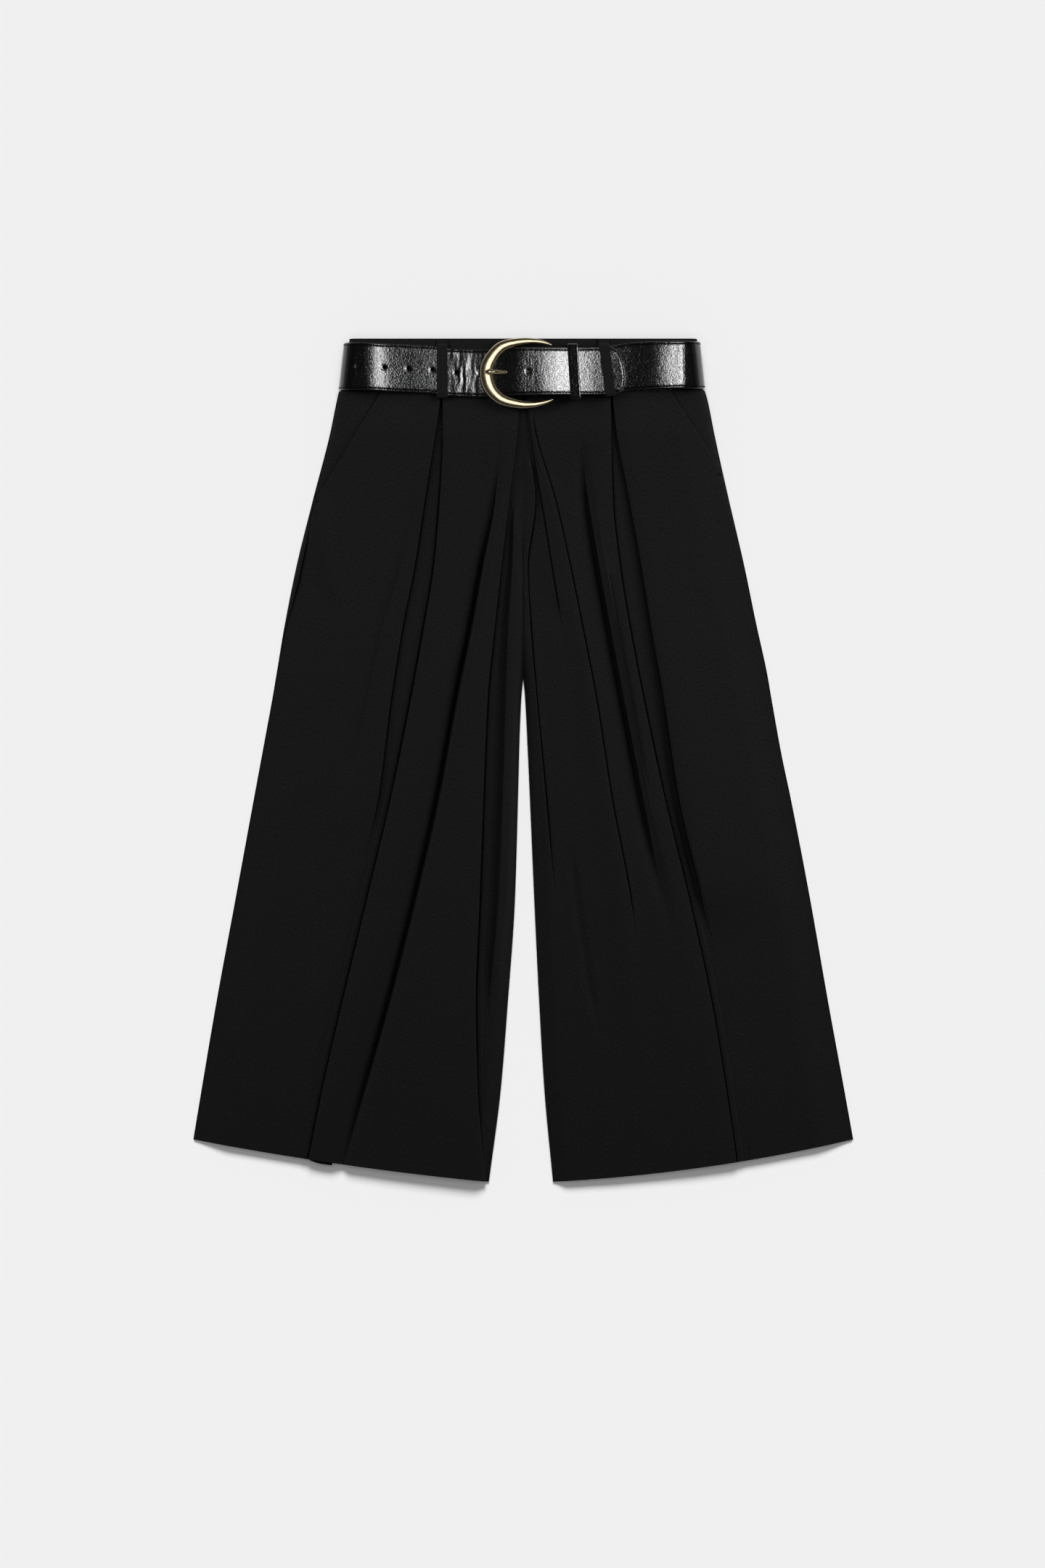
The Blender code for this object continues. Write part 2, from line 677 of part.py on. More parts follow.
PRONG = table(
    ("across", "z", "half_wide", "half_high"),
    (5.0, BAR_Z + 2.0, 1.4, 1.2), (-3.0, BAR_Z + 0.1, 1.6, 1.3), (-8.0, BAR_Z - 1.1, 1.6, 1.3),
    (-12.0, BAR_Z - 1.3, 1.6, 1.3), (-16.0, BAR_Z - 0.5, 1.7, 1.3), (-21.5, BAR_Z + 2.1, 1.8, 1.4),
    (-28.0, BAR_Z + 4.5, 2.0, 1.4),
    (-32.0, BAR_Z + 5.5, 2.1, 1.4), (-33.6, BAR_Z + 5.65, 3.6, 1.5), (-35.6, BAR_Z + 5.7, 3.6, 1.5),
    (-36.4, BAR_Z + 5.7, 2.1, 1.4), (-38.4, BAR_Z + 5.6, 1.2, 1.0))
PRONG_DOWN = 34.9
EYE_RADIUS = 2.9
EYE_ROD = 1.05
EYE_START = -155         # degrees; the eye runs on from here to the top of the bar
EYE_STEPS = 10
PRONG_ROOM = 0.45        # the hole is this much bigger all round


def build_prong(name, grow, finish, folder):
    """The prong: bent round the bar, under the free end, up through a hole, onto the frame."""
    route = []
    sizes = []
    for k in range(EYE_STEPS + 1):
        angle = math.radians(mix(EYE_START, 90, k / EYE_STEPS))
        x, z = EYE_RADIUS * math.cos(angle), EYE_RADIUS * math.sin(angle)
        route.append((BAR_X + x, PRONG_DOWN, BAR_Z + z))
        sizes.append((EYE_ROD, EYE_ROD))
    for i, across in enumerate(PRONG["across"]):
        route.append((across, PRONG_DOWN, PRONG["z"][i]))
        sizes.append((PRONG["half_wide"][i], PRONG["half_high"][i]))
    rings = [ring_along(route, i, wide + grow, high + grow) for i, (wide, high) in enumerate(sizes)]
    return loft(name, rings, finish, folder=folder)


# Horseshoe frame, from the upper tip round the closed end to the lower tip.
FRAME = table(
    ("across", "down", "width", "z"),
    (29.25, 6.9, 1.3, 25.6), (19.5, 3.9, 4.0, 25.8), (7.0, 2.9, 6.2, 26.0), (-7.5, 4.2, 8.0, 26.9),
    (-22.5, 8.8, 10.5, 27.3), (-33.0, 19.9, 12.4, 27.1), (-38.25, 33.0, 13.4, 27.1),
    (-35.0, 49.8, 12.7, 27.1), (-23.4, 62.4, 10.9, 27.3), (-6.0, 67.6, 8.8, 26.9),
    (9.0, 68.3, 6.6, 26.0), (21.75, 66.2, 4.0, 25.8), (30.7, 63.1, 1.3, 25.6))


FRAME_SIDES = 10
FRAME_FLAT = 0.42        # its thickness over its width
FRAME_THIN = 1.2
BAR_ENDS = (3.2, 68.0)


def build_buckle():
    names = ("across", "down", "width", "z")
    index = list(range(len(FRAME["across"])))
    steps = [i / 2 for i in range(2 * len(index) - 1)]
    path = [[smooth_at(index, FRAME[name], s) for name in names] for s in steps]
    rings = []
    for i, (across, down, width, z) in enumerate(path):
        before = path[max(i - 1, 0)]
        after = path[min(i + 1, len(path) - 1)]
        length = math.hypot(after[0] - before[0], after[1] - before[1])
        nx, nd = -(after[1] - before[1]) / length, (after[0] - before[0]) / length
        high = max(FRAME_THIN, FRAME_FLAT * width) / 2
        ring = []
        for k in range(FRAME_SIDES):
            angle = 2 * math.pi * k / FRAME_SIDES
            out = width / 2 * math.cos(angle)
            ring.append(point(across + nx * out, down + nd * out, z + high * math.sin(angle)))
        rings.append(ring)
    frame = loft("buckle_frame", rings, GOLD)
    radius = BAR_RADIUS * MM
    bm = bmesh.new()
    bmesh.ops.create_cone(bm, cap_ends=True, segments=FRAME_SIDES, radius1=radius,
                          radius2=radius, depth=(BAR_ENDS[1] - BAR_ENDS[0]) * MM)
    for vert in bm.verts:
        vert.co = Vector((vert.co.x, vert.co.z, vert.co.y))
    bmesh.ops.recalc_face_normals(bm, faces=bm.faces)
    bmesh.ops.translate(bm, verts=bm.verts, vec=point(BAR_X, sum(BAR_ENDS) / 2, BAR_Z))
    cut(frame, solid_cutter("bar", bm), "UNION")
    return frame


def strip(path, wide):
    """Rows of a band along a path in the y-z plane; the path holds (x, down, z)."""
    return [[point(x - wide / 2, down, z), point(x + wide / 2, down, z)] for x, down, z in path]


LOOP_WALL = 1.1
LOOP_WIDTH = 11.0
LOOP_LOW = 20.9          # height of a belt loop's lower end


def build_belt_loop(name, x_top, x_bottom, top_z, strap_top, strap_bottom):
    """A cloth loop from the waistband over the strap and down past its lower edge."""
    clear = GAP + LOOP_WALL / 2
    over = top_z + clear
    band = BAND_Z + BAND / 2 + clear
    start = strap_top - clear - 0.25
    end = strap_bottom + clear + 0.5
    path = [(start - 5.5, band), (start - 1.6, band), (start - 0.1, band + 0.7),
            (start, over - 1.0), (start + 1.2, over), (mix(start, end, 0.35), over),
            (mix(start, end, 0.65), over), (end - 1.6, over), (end - 0.1, over - 1.1),
            (end + 0.1, LOOP_LOW)]
    first, last = path[0][0], path[-1][0]
    rows = [(mix(x_top, x_bottom, (d - first) / (last - first)), d, z) for d, z in path]
    return sheet(name, strip(rows, LOOP_WIDTH), LOOP_WALL, WOVEN)


KEEPER = {"wall": 1.4, "top": 6.4, "bottom": 62.6, "corner": 1.6, "width": 10.8,
          "x_top": 50.9, "x_bottom": 54.3}


def build_keeper():
    """A leather ring round the fixed strap and the free end."""
    wall, corner = KEEPER["wall"], KEEPER["corner"]
    top, bottom = KEEPER["top"], KEEPER["bottom"]
    low = BAND_Z + BAND / 2 + GAP + wall / 2
    high = STRAP_Z + 2 * STRAP_LAYER + STRAP / 2 + GAP + wall / 2 + 0.1
    loop = [(top + corner, high), (bottom - corner, high), (bottom, high - corner),
            (bottom, low + corner), (bottom - corner, low), (top + corner, low),
            (top, low + corner), (top, high - corner)]
    lean = KEEPER["x_bottom"] - KEEPER["x_top"]
    path = [(KEEPER["x_top"] + lean * (d - top) / (bottom - top), d, z) for d, z in loop]
    points = [p for row in strip(path, KEEPER["width"]) for p in row]
    count = len(path)
    faces = []
    for r in range(count):
        after = (r + 1) % count
        faces.append((2 * r, 2 * r + 1, 2 * after + 1, 2 * after))
    keeper = add_mesh("belt_keeper", points, faces, LEATHER)
    thicken(keeper, wall)
    return keeper


# ---- build -----------------------------------------------------------------------------
for leg, side in ((RIGHT, "right"), (LEFT, "left")):
    build_front("front_" + side, leg)
    build_back("back_" + side, leg)
    build_hip("hip_" + side, leg)
build_waistband("waistband_front", True)
build_waistband("waistband_back", False)
belt = build_strap()
build_prong("buckle_prong", 0.0, GOLD, garment)
punch_strap(belt, build_prong("prong_hole", PRONG_ROOM, LEATHER, cutters))
build_buckle()
build_keeper()
build_belt_loop("belt_loop_right", -83.7, -83.7, LOOP_HEIGHT, 8.0, 60.2)
build_belt_loop("belt_loop_left", 82.8, 90.4, LOOP_HEIGHT + STRAP_LAYER, 7.3, 58.4)
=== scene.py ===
import bisect
from math import (asin, atan, atan2, ceil, copysign, cos, degrees, dist, exp, hypot, pi, radians,
                  sin, sqrt, tan)

import bmesh
import bpy
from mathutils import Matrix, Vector, noise


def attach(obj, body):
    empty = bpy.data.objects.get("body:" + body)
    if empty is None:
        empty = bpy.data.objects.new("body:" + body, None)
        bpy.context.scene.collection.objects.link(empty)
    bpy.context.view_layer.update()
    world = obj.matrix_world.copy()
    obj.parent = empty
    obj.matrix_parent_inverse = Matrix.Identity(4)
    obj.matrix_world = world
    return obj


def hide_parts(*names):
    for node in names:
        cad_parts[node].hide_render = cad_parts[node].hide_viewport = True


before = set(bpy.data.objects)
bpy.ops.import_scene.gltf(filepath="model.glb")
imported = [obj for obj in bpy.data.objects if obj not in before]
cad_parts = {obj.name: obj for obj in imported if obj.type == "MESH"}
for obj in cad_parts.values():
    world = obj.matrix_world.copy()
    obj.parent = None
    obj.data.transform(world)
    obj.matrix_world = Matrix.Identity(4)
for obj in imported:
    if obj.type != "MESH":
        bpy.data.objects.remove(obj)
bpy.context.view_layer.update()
mm = 0.001

# how the garment lies, in millimetres: down runs from the waist's top edge, across is x
lie = {
    "topY": 435.4, "gap": 0.3, "cloth": 1.0, "layer": 1.4, "tuck": 0.6, "loopHeight": 24.0,
    "waistHalf": 185.6, "waistTaper": 0.014, "bandWall": 2.0, "bandRaised": 1.2, "strap": 2.6,
    "strapWidth": 49.0, "seamSide": 52.0, "seamCentre": 57.0, "hemSide": 827.3,
    "hemCentre": 871.0, "relax": 240.0, "backRelax": 50.0, "sideRound": 12.0,
    "centreGap": 0.02, "hipBelow": 1.9, "hipFades": (5, 60), "sideGuess": 200.0,
    "rollSlope": (0.5, 0.134), "waistMid": 30.0,
}
gap, strapHalf, strapOut = lie["gap"], lie["strapWidth"] / 2, lie["strap"] / 2
strapLayer = lie["strap"] + gap
strapZ = lie["loopHeight"] - strapOut
bandZ = lie["loopHeight"] - lie["strap"] - gap - lie["bandWall"] / 2
backBandZ = lie["strap"] + gap + lie["bandWall"] / 2
midZ = lie["loopHeight"] / 2
panelTopZ = bandZ + lie["bandWall"] / 2 - lie["tuck"] - 2 * lie["layer"] - lie["cloth"] / 2
flatFrontZ = 1.5 * lie["cloth"] + gap


# small tools
def mix(a, b, t):
    return a + (b - a) * t


def clamp(t):
    return min(1.0, max(0.0, t))


def ease(t):
    t = clamp(t)
    return t * t * (3.0 - 2.0 * t)


def curveThrough(points):
    # a smooth curve y(x) through points that never overshoots them
    xs = [p[0] for p in points]
    ys = [p[1] for p in points]
    rise = [(ys[i + 1] - ys[i]) / (xs[i + 1] - xs[i]) for i in range(len(xs) - 1)]
    slope = [rise[0]]
    for before, after in zip(rise, rise[1:]):
        slope.append(0.0 if before * after <= 0 else 2 * before * after / (before + after))
    slope.append(rise[-1])

    def value(x):
        if x <= xs[0]:
            return ys[0] + rise[0] * (x - xs[0])
        if x >= xs[-1]:
            return ys[-1] + rise[-1] * (x - xs[-1])
        i = bisect.bisect_right(xs, x) - 1
        h = xs[i + 1] - xs[i]
        t = (x - xs[i]) / h
        return (ys[i] * (1 + 2 * t) * (1 - t) ** 2 + ys[i + 1] * t * t * (3 - 2 * t)
                + h * slope[i] * t * (1 - t) ** 2 - h * slope[i + 1] * t * t * (1 - t))
    return value


def at(across, down, z):
    return Vector((across * mm, (lie["topY"] - down) * mm, z * mm))


def spaced(start, end, step):
    count = max(1, round(abs(end - start) / step))
    return [mix(start, end, k / count) for k in range(count + 1)]


def heading(path, i, a=0, b=1, closed=False):
    # the way a path runs at one of its points, in two of its columns
    count = len(path)
    before = path[(i - 1) % count if closed else max(i - 1, 0)]
    after = path[(i + 1) % count if closed else min(i + 1, count - 1)]
    stepA, stepB = after[a] - before[a], after[b] - before[b]
    length = hypot(stepA, stepB) or 1.0
    return stepA / length, stepB / length


def placed(name, data):
    made = bpy.data.objects.new(name, data)
    bpy.context.scene.collection.objects.link(made)
    return made


# materials
def fill(node, *feeds, **values):
    # inputs in their order, then by name: fed by a socket or set to a value. Names in small
    # letters are the node's own settings
    for label in [label for label in values if label[0].islower()]:
        setattr(node, label, values.pop(label))
    named = [(node.inputs[label.replace("_", " ")], value) for label, value in values.items()]
    for socket, value in [*zip(node.inputs, feeds), *named]:
        if isinstance(value, bpy.types.NodeSocket):
            node.id_data.links.new(value, socket)
        else:
            socket.default_value = value


def addNode(tree, kind, output, *feeds, **values):
    # a node's output; a short kind is a shader node's
    node = tree.nodes.new(kind if "Node" in kind else "ShaderNode" + kind)
    fill(node, *feeds, **values)
    return node.outputs[output]


def newMaterial(name, colour, roughness, **values):
    made = bpy.data.materials.new(name)
    made.use_nodes = True
    shader = made.node_tree.nodes["Principled BSDF"]
    fill(shader, Base_Color=(*colour, 1), Roughness=roughness, **values)
    return made, shader


clothLook = {
    "dark": (0.0043, 0.0044, 0.0043), "light": (0.0104, 0.0104, 0.0102), "roughness": 0.86,
    "yarn": 0.00075, "relief": 0.00012, "twill": 27, "slubs": (900, 430, 1), "mottle": 640.0,
    "shares": (0.55, 0.45), "spread": (0.38, 0.62),
}


def clothFinish(name, look):
    made, shader = newMaterial(name, look["light"], look["roughness"], Sheen_Weight=0.015,
                               Sheen_Roughness=0.4, Specular_IOR_Level=0.05)
    tree, waves = made.node_tree, 0.314 / look["yarn"]
    lay = addNode(tree, "UVMap", "UV", uv_map="weave")
    twill = addNode(tree, "Mapping", "Vector", lay, Rotation=(0, 0, radians(look["twill"])))
    ribs = addNode(tree, "TexWave", "Fac", twill, Scale=waves / 2, Distortion=0.6,
                   Detail=2.0, Detail_Scale=3.0)
    threads = addNode(tree, "TexWave", "Fac", lay, bands_direction="Y",
                      Scale=waves * 1.4, Distortion=1.0, Detail=1.0)
    squeezed = addNode(tree, "Mapping", "Vector", lay, Scale=look["slubs"])
    slubs = addNode(tree, "TexNoise", "Fac", squeezed, Scale=1.0, Detail=3.0, Roughness=0.6)
    mottle = addNode(tree, "TexNoise", "Fac", lay, Scale=look["mottle"], Detail=3.0, Roughness=0.6)
    slubShare, mottleShare = look["shares"]
    mixed = addNode(tree, "Math", "Value", mottle, mottleShare, operation="MULTIPLY")
    mixed = addNode(tree, "Math", "Value", slubs, slubShare, mixed, operation="MULTIPLY_ADD")
    low, high = look["spread"]
    spread = addNode(tree, "MapRange", "Result", mixed, From_Min=low, From_Max=high)
    tone = addNode(tree, "Mix", "Result", data_type="RGBA", Factor=spread,
                   A=(*look["dark"], 1), B=(*look["light"], 1))
    height = addNode(tree, "Math", "Value", ribs, threads, operation="ADD")
    bump = addNode(tree, "Bump", "Normal", Strength=0.35, Distance=look["relief"], Height=height)
    fill(shader, Base_Color=tone, Normal=bump)
    return made


def threadFinish(name, colour):
    made, shader = newMaterial(name, colour, 0.9, Specular_IOR_Level=0.05)
    tree = made.node_tree
    place = addNode(tree, "TexCoord", "Object")
    twist = addNode(tree, "TexWave", "Fac", place, bands_direction="DIAGONAL",
                    Scale=900.0, Distortion=0.5)
    fill(shader, Normal=addNode(tree, "Bump", "Normal", Strength=0.4,
                                Distance=0.0001, Height=twist))
    return made


blackCloth = clothFinish("blackCloth", clothLook)
blackThread = threadFinish("blackThread", (0.0025, 0.0025, 0.0025))
clothThread = threadFinish("clothThread", (0.0055, 0.0055, 0.0055))


# making meshes
def keep(mesh, name, finish, smoothBelow=0.9):
    mesh.name = name
    mesh.materials.clear()
    mesh.materials.append(finish)
    for face in mesh.polygons:
        face.use_smooth = True
        face.material_index = 0
    mesh.set_sharp_from_angle(angle=smoothBelow)
    return placed(name, mesh)


def settle(piece, slotName, *nodes):
    if nodes:
        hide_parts(*nodes)
    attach(piece, "root")
    return piece


def fromBmesh(bm, name):
    mesh = bpy.data.meshes.new(name)
    bm.to_mesh(mesh)
    bm.free()
    return mesh


def layWeave(mesh, spotOf):
    layer = mesh.uv_layers.new(name="weave")
    for loop in mesh.loops:
        layer.data[loop.index].uv = spotOf(loop.vertex_index)


def gridMesh(name, rows, weave):
    wide = len(rows[0])
    faces = [(k, k + wide, k + wide + 1, k + 1)
             for r in range(len(rows) - 1) for k in range(r * wide, (r + 1) * wide - 1)]
    mesh = bpy.data.meshes.new(name)
    mesh.from_pydata([p for row in rows for p in row], [], faces)
    layWeave(mesh, [uv for row in weave for uv in row].__getitem__)
    mesh.validate()
    return mesh


def baked(mesh, addModifiers):
    # a mesh with modifiers worked in, and none left on it
    draft = placed("draft", mesh)
    addModifiers(draft)
    depsgraph = bpy.context.evaluated_depsgraph_get()
    result = bpy.data.meshes.new_from_object(draft.evaluated_get(depsgraph))
    bpy.data.objects.remove(draft, do_unlink=True)
    return result


def solidLoft(rings, closed=False):
    # a closed body through rings of equally many points
    wide, count = len(rings[0]), len(rings)
    bm = bmesh.new()
    verts = [[bm.verts.new(p) for p in ring] for ring in rings]
    for r in range(count if closed else count - 1):
        after = (r + 1) % count
        for i in range(wide):
            j = (i + 1) % wide
            bm.faces.new((verts[r][i], verts[r][j], verts[after][j], verts[after][i]))
    if not closed:
        bm.faces.new(verts[0])
        bm.faces.new(verts[-1])
    bmesh.ops.recalc_face_normals(bm, faces=bm.faces)
    return fromBmesh(bm, "loft")


# the cloth pieces, and each one's flat cut as (wide, long, area)
pieces, cuts = {}, {}


def longest(lines):
    return max(sum((b - a).length for a, b in zip(line, line[1:])) for line in lines)


def clothPiece(name, rows, weave, wall, node, rim=0.0):
    # cloth with a wall, facing outwards on both sides
    def walls(draft):
        solid = draft.modifiers.new("wall", "SOLIDIFY")
        solid.thickness = wall * mm
        solid.offset = 0.0
        if rim:
            bevel = draft.modifiers.new("rim", "BEVEL")
            bevel.width = rim * mm
            bevel.segments = 2
            bevel.limit_method = "ANGLE"
            bevel.angle_limit = 1.1
    made = keep(baked(gridMesh(name, rows, weave), walls), name, blackCloth)
    area = sum(((rows[r][i + 1] - rows[r][i]).cross(rows[r + 1][i] - rows[r][i])).length
               for r in range(len(rows) - 1) for i in range(len(rows[0]) - 1))
    cuts[name] = (longest(rows), longest(zip(*rows)), area)
    pieces[name] = settle(made, "cloth", node)


# how the leg panels lie
def namedColumns(names, *rows):
    return {name: curveThrough([(row[0], row[i]) for row in rows])
            for i, name in enumerate(names) if i}


never = 5000.0
lifeNames = ("fold", "onTop", "opens", "full", "closing", "closed", "turn", "lapTop", "lapHem",
             "lip", "thick")


def lives(*rows):
    made = {row[0]: dict(zip(lifeNames, row)) for row in rows}
    for life in made.values():
        life["thick"] = curveThrough(life["thick"])
    return made


# outlines and folds by their place across at each down; lives says where a fold opens and
# closes, how far it turns under, and how thick its roll is
rightLeg = {
    "sign": -1, "bow": 3.6,
    "outline": namedColumns(
        ("down", "side", "inner"),
        (52, -185.0, 0.0), (53.2, -187.0, 0.0), (54.2, -189.7, 0.0), (62, -191.8, 0.0),
        (100, -199.8, 0.0), (167, -217.4, 0.0), (235, -234.3, 0.0), (295, -246.3, 0.0),
        (345, -254.6, 0.0), (370, -258.8, -1.9), (407, -265.6, -3.6), (475, -278.2, -5.4),
        (580, -297.5, -8.6), (685, -316.9, -15.9), (775, -332.2, -23.2), (871, -348.0, -35.6)),
    "pocket": {"top": (-147.0, 55.5), "end": (-214.0, 165.0)},
    "folds": namedColumns(
        ("down", "pleatSide", "pleatMiddle", "softFold", "centreOuter", "centreInner"),
        (55, -84.4, -83.2, -23.0, -3.2, -1.6),
        (100, -91.1, -82.9, -23.0, -6.4, -3.2),
        (167, -102.0, -86.2, -27.5, -14.6, -9.0),
        (235, -112.5, -92.2, -40.0, -22.5, -11.3),
        (295, -124.5, -102.0, -50.9, -29.3, -15.4),
        (370, -136.5, -115.5, -66.3, -36.8, -18.0),
        (475, -150.4, -136.9, -85.8, -41.3, -21.2),
        (580, -176.0, -161.6, -109.8, -45.2, -25.7),
        (685, -201.0, -186.8, -136.5, -49.1, -34.0),
        (775, -222.0, -207.4, -162.0, -47.0, -37.0),
        (871, -241.0, -226.5, -190.0, -38.8, -37.2)),
    "lives": lives(
        ("pleatSide", "left", -never, 0, 340, 560, 180, 9.0, 12.0, 0.22,
         ((55, 1.3), (250, 1.7), (480, 1.5))),
        ("pleatMiddle", "right", -never, 0, never, 2 * never, 180, 9.0, 21.0, 0.3,
         ((55, 1.3), (250, 1.9), (450, 2.4), (871, 1.6))),
        ("softFold", "right", 95, 240, 690, 870, 70, 1.0, 1.0, 0.1,
         ((95, 1.4), (260, 2.2), (871, 2.0))),
        ("centreOuter", "left", -never, 0, never, 2 * never, 180, 3.0, 8.0, 0.3,
         ((55, 1.2), (250, 1.6), (871, 2.2))),
        ("centreInner", "right", 150, 260, 560, 720, 180, 3.0, 5.0, 0.0,
         ((155, 1.2), (300, 2.5), (500, 2.9), (720, 1.8)))),
    "sideShows": curveThrough([(52, 0.8), (155, 0.8), (172, 2.4), (190, 3.6), (215, 5.2),
                               (245, 5.4), (275, 4.2), (305, 1.6), (345, 0.7), (871, 0.7)]),
    "showsFrom": 52,
    "hangs": {"fold": "pleatMiddle", "drop": 2.6},
    # soft ridges on the lying cloth: where each runs (across, down), how far it falls to the
    # left and right, and how high it stands
    "ridges": (
        {"path": ((-114.8, 176), (-129.8, 242), (-147.8, 302), (-162.8, 374), (-177, 440)),
         "left": 4.5, "right": 3.5, "high": -2.6},
        {"path": ((-52, 180), (-66, 260), (-84, 360), (-108, 470), (-136, 580), (-165, 700)),
         "left": 26, "right": 13, "high": 1.6},
        {"path": ((-29, 130), (-33, 200), (-45, 290), (-60, 400), (-78, 500), (-100, 620)),
         "left": 9, "right": 13, "high": 1.3},
        {"path": ((-209.0, 173), (-205.8, 200), (-202.6, 230), (-199.0, 262)),
         "left": 2.6, "right": 10, "high": 2.4},
        {"path": ((-52.5, 322), (-59, 365), (-65, 407)), "left": 2.5, "right": 4, "high": 0.8},
        {"fold": "softFold", "shift": -2.4, "from": 170, "to": 850,
         "left": 6.4, "right": 4.4, "high": -5.4},
    ),
}
leftLeg = {
    "sign": 1, "bow": 6.8,
    "outline": namedColumns(
        ("down", "side", "inner"),
        (52, 184.0, 0.0), (53.0, 186.6, 0.0), (56, 187.9, 0.0), (62, 189.8, 0.0),
        (100, 197.6, 0.0), (167, 212.6, 0.0), (235, 228.4, 0.0), (295, 240.8, 0.0),
        (345, 251.8, 0.0), (370, 256.1, 1.9), (430, 266.9, 4.9), (475, 276.4, 6.9),
        (580, 296.6, 11.4), (685, 315.0, 16.5), (775, 331.5, 21.8), (871, 348.8, 30.8)),
    "pocket": {"top": (153.0, 55.5), "end": (206.3, 137.3)},
    "folds": namedColumns(
        ("down", "centreInner", "centreOuter", "crease", "softFold", "pleatMiddle", "pleatSide"),
        (55, 1.2, 2.4, 4.6, 59.3, 90.0, 91.4),
        (100, 4.2, 8.2, 13.0, 61.0, 90.8, 97.1),
        (167, 12.4, 19.5, 33.0, 68.9, 92.6, 109.9),
        (235, 4.6, 30.4, 48.4, 80.4, 99.8, 122.3),
        (295, 7.4, 40.5, 60.4, 91.3, 109.5, 132.0),
        (370, 13.8, 48.0, 75.0, 105.5, 123.8, 145.1),
        (475, 23.5, 59.3, 91.5, 125.5, 146.3, 161.3),
        (580, 32.6, 70.5, 111.0, 146.3, 171.8, 186.0),
        (685, 44.0, 81.8, 123.0, 164.3, 194.6, 209.0),
        (775, 51.8, 93.0, 134.0, 178.5, 209.6, 224.0),
        (871, 59.3, 103.0, 144.0, 192.0, 223.5, 238.0)),
    "lives": lives(
        ("centreInner", "left", 110, 170, 330, 620, 180, 1.6, 4.0, 0.5,
         ((110, 1.2), (195, 1.6), (245, 0.8), (310, 1.4), (620, 1.4))),
        ("centreOuter", "right", -never, 0, 200, 310, 180, 1.5, 2.5, 0.75,
         ((55, 1.2), (290, 1.4))),
        ("crease", "left", 60, 120, 460, 640, 180, 2.5, 8.0, 0.75,
         ((60, 1.2), (250, 1.5), (640, 1.4))),
        ("softFold", "right", 95, 240, 430, 600, 70, 1.0, 1.0, 0.1,
         ((95, 1.4), (260, 2.2), (580, 1.8))),
        ("pleatMiddle", "left", -never, 0, never, 2 * never, 180, 7.5, 16.0, 0.4,
         ((55, 1.3), (300, 1.5), (560, 1.7), (871, 1.2))),
        ("pleatSide", "right", -never, 0, 470, 640, 180, 9.0, 12.0, 0.08,
         ((55, 1.3), (250, 2.2), (400, 3.2), (520, 3.6), (640, 2.2)))),
    "sideShows": curveThrough([(137, 0.8), (871, 0.7)]),
    "showsFrom": 137,
    "hangs": {"fold": "pleatMiddle", "drop": 0.0},
    "ridges": (
        {"path": ((40, 190), (58, 300), (78, 420), (96, 540), (110, 660)),
         "left": 16, "right": 9, "high": 1.2},
        {"path": ((78, 150), (92, 240), (112, 360), (136, 470), (160, 580)),
         "left": 10, "right": 12, "high": 1.3},
        {"path": ((51, 543), (60, 610), (72, 690)), "left": 4.5, "right": 4, "high": -2.0},
        {"fold": "softFold", "shift": -2.4, "from": 150, "to": 540,
         "left": 7.4, "right": 4.6, "high": -5.8},
    ),
}


def frontHeight(down):
    s = clamp((down - lie["seamCentre"]) / lie["relax"])
    return mix(flatFrontZ, panelTopZ, (1 - s) ** 2.2)


def backHeight(down):
    s = clamp((down - lie["seamSide"]) / lie["backRelax"])
    return mix(lie["cloth"] / 2, backBandZ, (1 - s) ** 2)


def sideHeight(down):
    return (frontHeight(down) + backHeight(down)) / 2


def sideShows(leg, down):
    return leg["sideShows"](max(down, leg["showsFrom"]))


def sideSeam(leg, down):
    return leg["outline"]["side"](down) - leg["sign"] * sideShows(leg, down)


def centreSeam(leg, down):
    return leg["outline"]["inner"](down) + leg["sign"] * lie["centreGap"]


def roundedRise(distance):
    t = clamp(distance / lie["sideRound"])
    return sqrt(1 - (1 - t) ** 2)


def seamOffset(height):
    rise, run = lie["rollSlope"]
    slope = atan2(rise * height, run * lie["sideRound"])
    return gap / 2 + lie["cloth"] / 2 * cos(slope)


def frontBase(leg, across, down):
    seamZ, top = sideHeight(down), frontHeight(down)
    start = seamZ + seamOffset(top - seamZ)
    return start + max(0.0, top - start) * roundedRise(abs(sideSeam(leg, down) - across))


def backBase(leg, across, down):
    seamZ, low = sideHeight(down), backHeight(down)
    after, over = lie["hipFades"]
    hipShare = 1 - ease((down - leg["pocket"]["end"][1] - after) / over)
    start = max(low, seamZ - seamOffset(seamZ - low) - lie["hipBelow"] * hipShare)
    return start - (start - low) * roundedRise(abs(leg["outline"]["side"](down) - across))


def sectionDown(leg, share, across):
    # a leg's sections run from its side to its inner edge, and sink between them to the hem
    sideDown = mix(lie["seamSide"], lie["hemSide"], share)
    innerDown = mix(lie["seamCentre"], lie["hemCentre"], share)
    side, inner = leg["outline"]["side"](sideDown), leg["outline"]["inner"](innerDown)
    u = clamp((across - side) / (inner - side))
    return mix(sideDown, innerDown, u) + leg["bow"] * share ** 2 * 4 * u * (1 - u)


def crossing(leg, share, curve, guess):
    # where a section meets a line that is known by its place across at each down
    for _ in range(5):
        guess = curve(sectionDown(leg, share, guess))
    return guess


def pocketEdge(leg, down):
    (x0, d0), (x1, d1) = leg["pocket"]["top"], leg["pocket"]["end"]
    return x0 + (x1 - x0) * (down - d0) / (d1 - d0)


def frontEdge(leg, down):
    seam = sideSeam(leg, down)
    if down >= leg["pocket"]["end"][1]:
        return seam
    pocket = pocketEdge(leg, down)
    return max(seam, pocket) if leg["sign"] < 0 else min(seam, pocket)


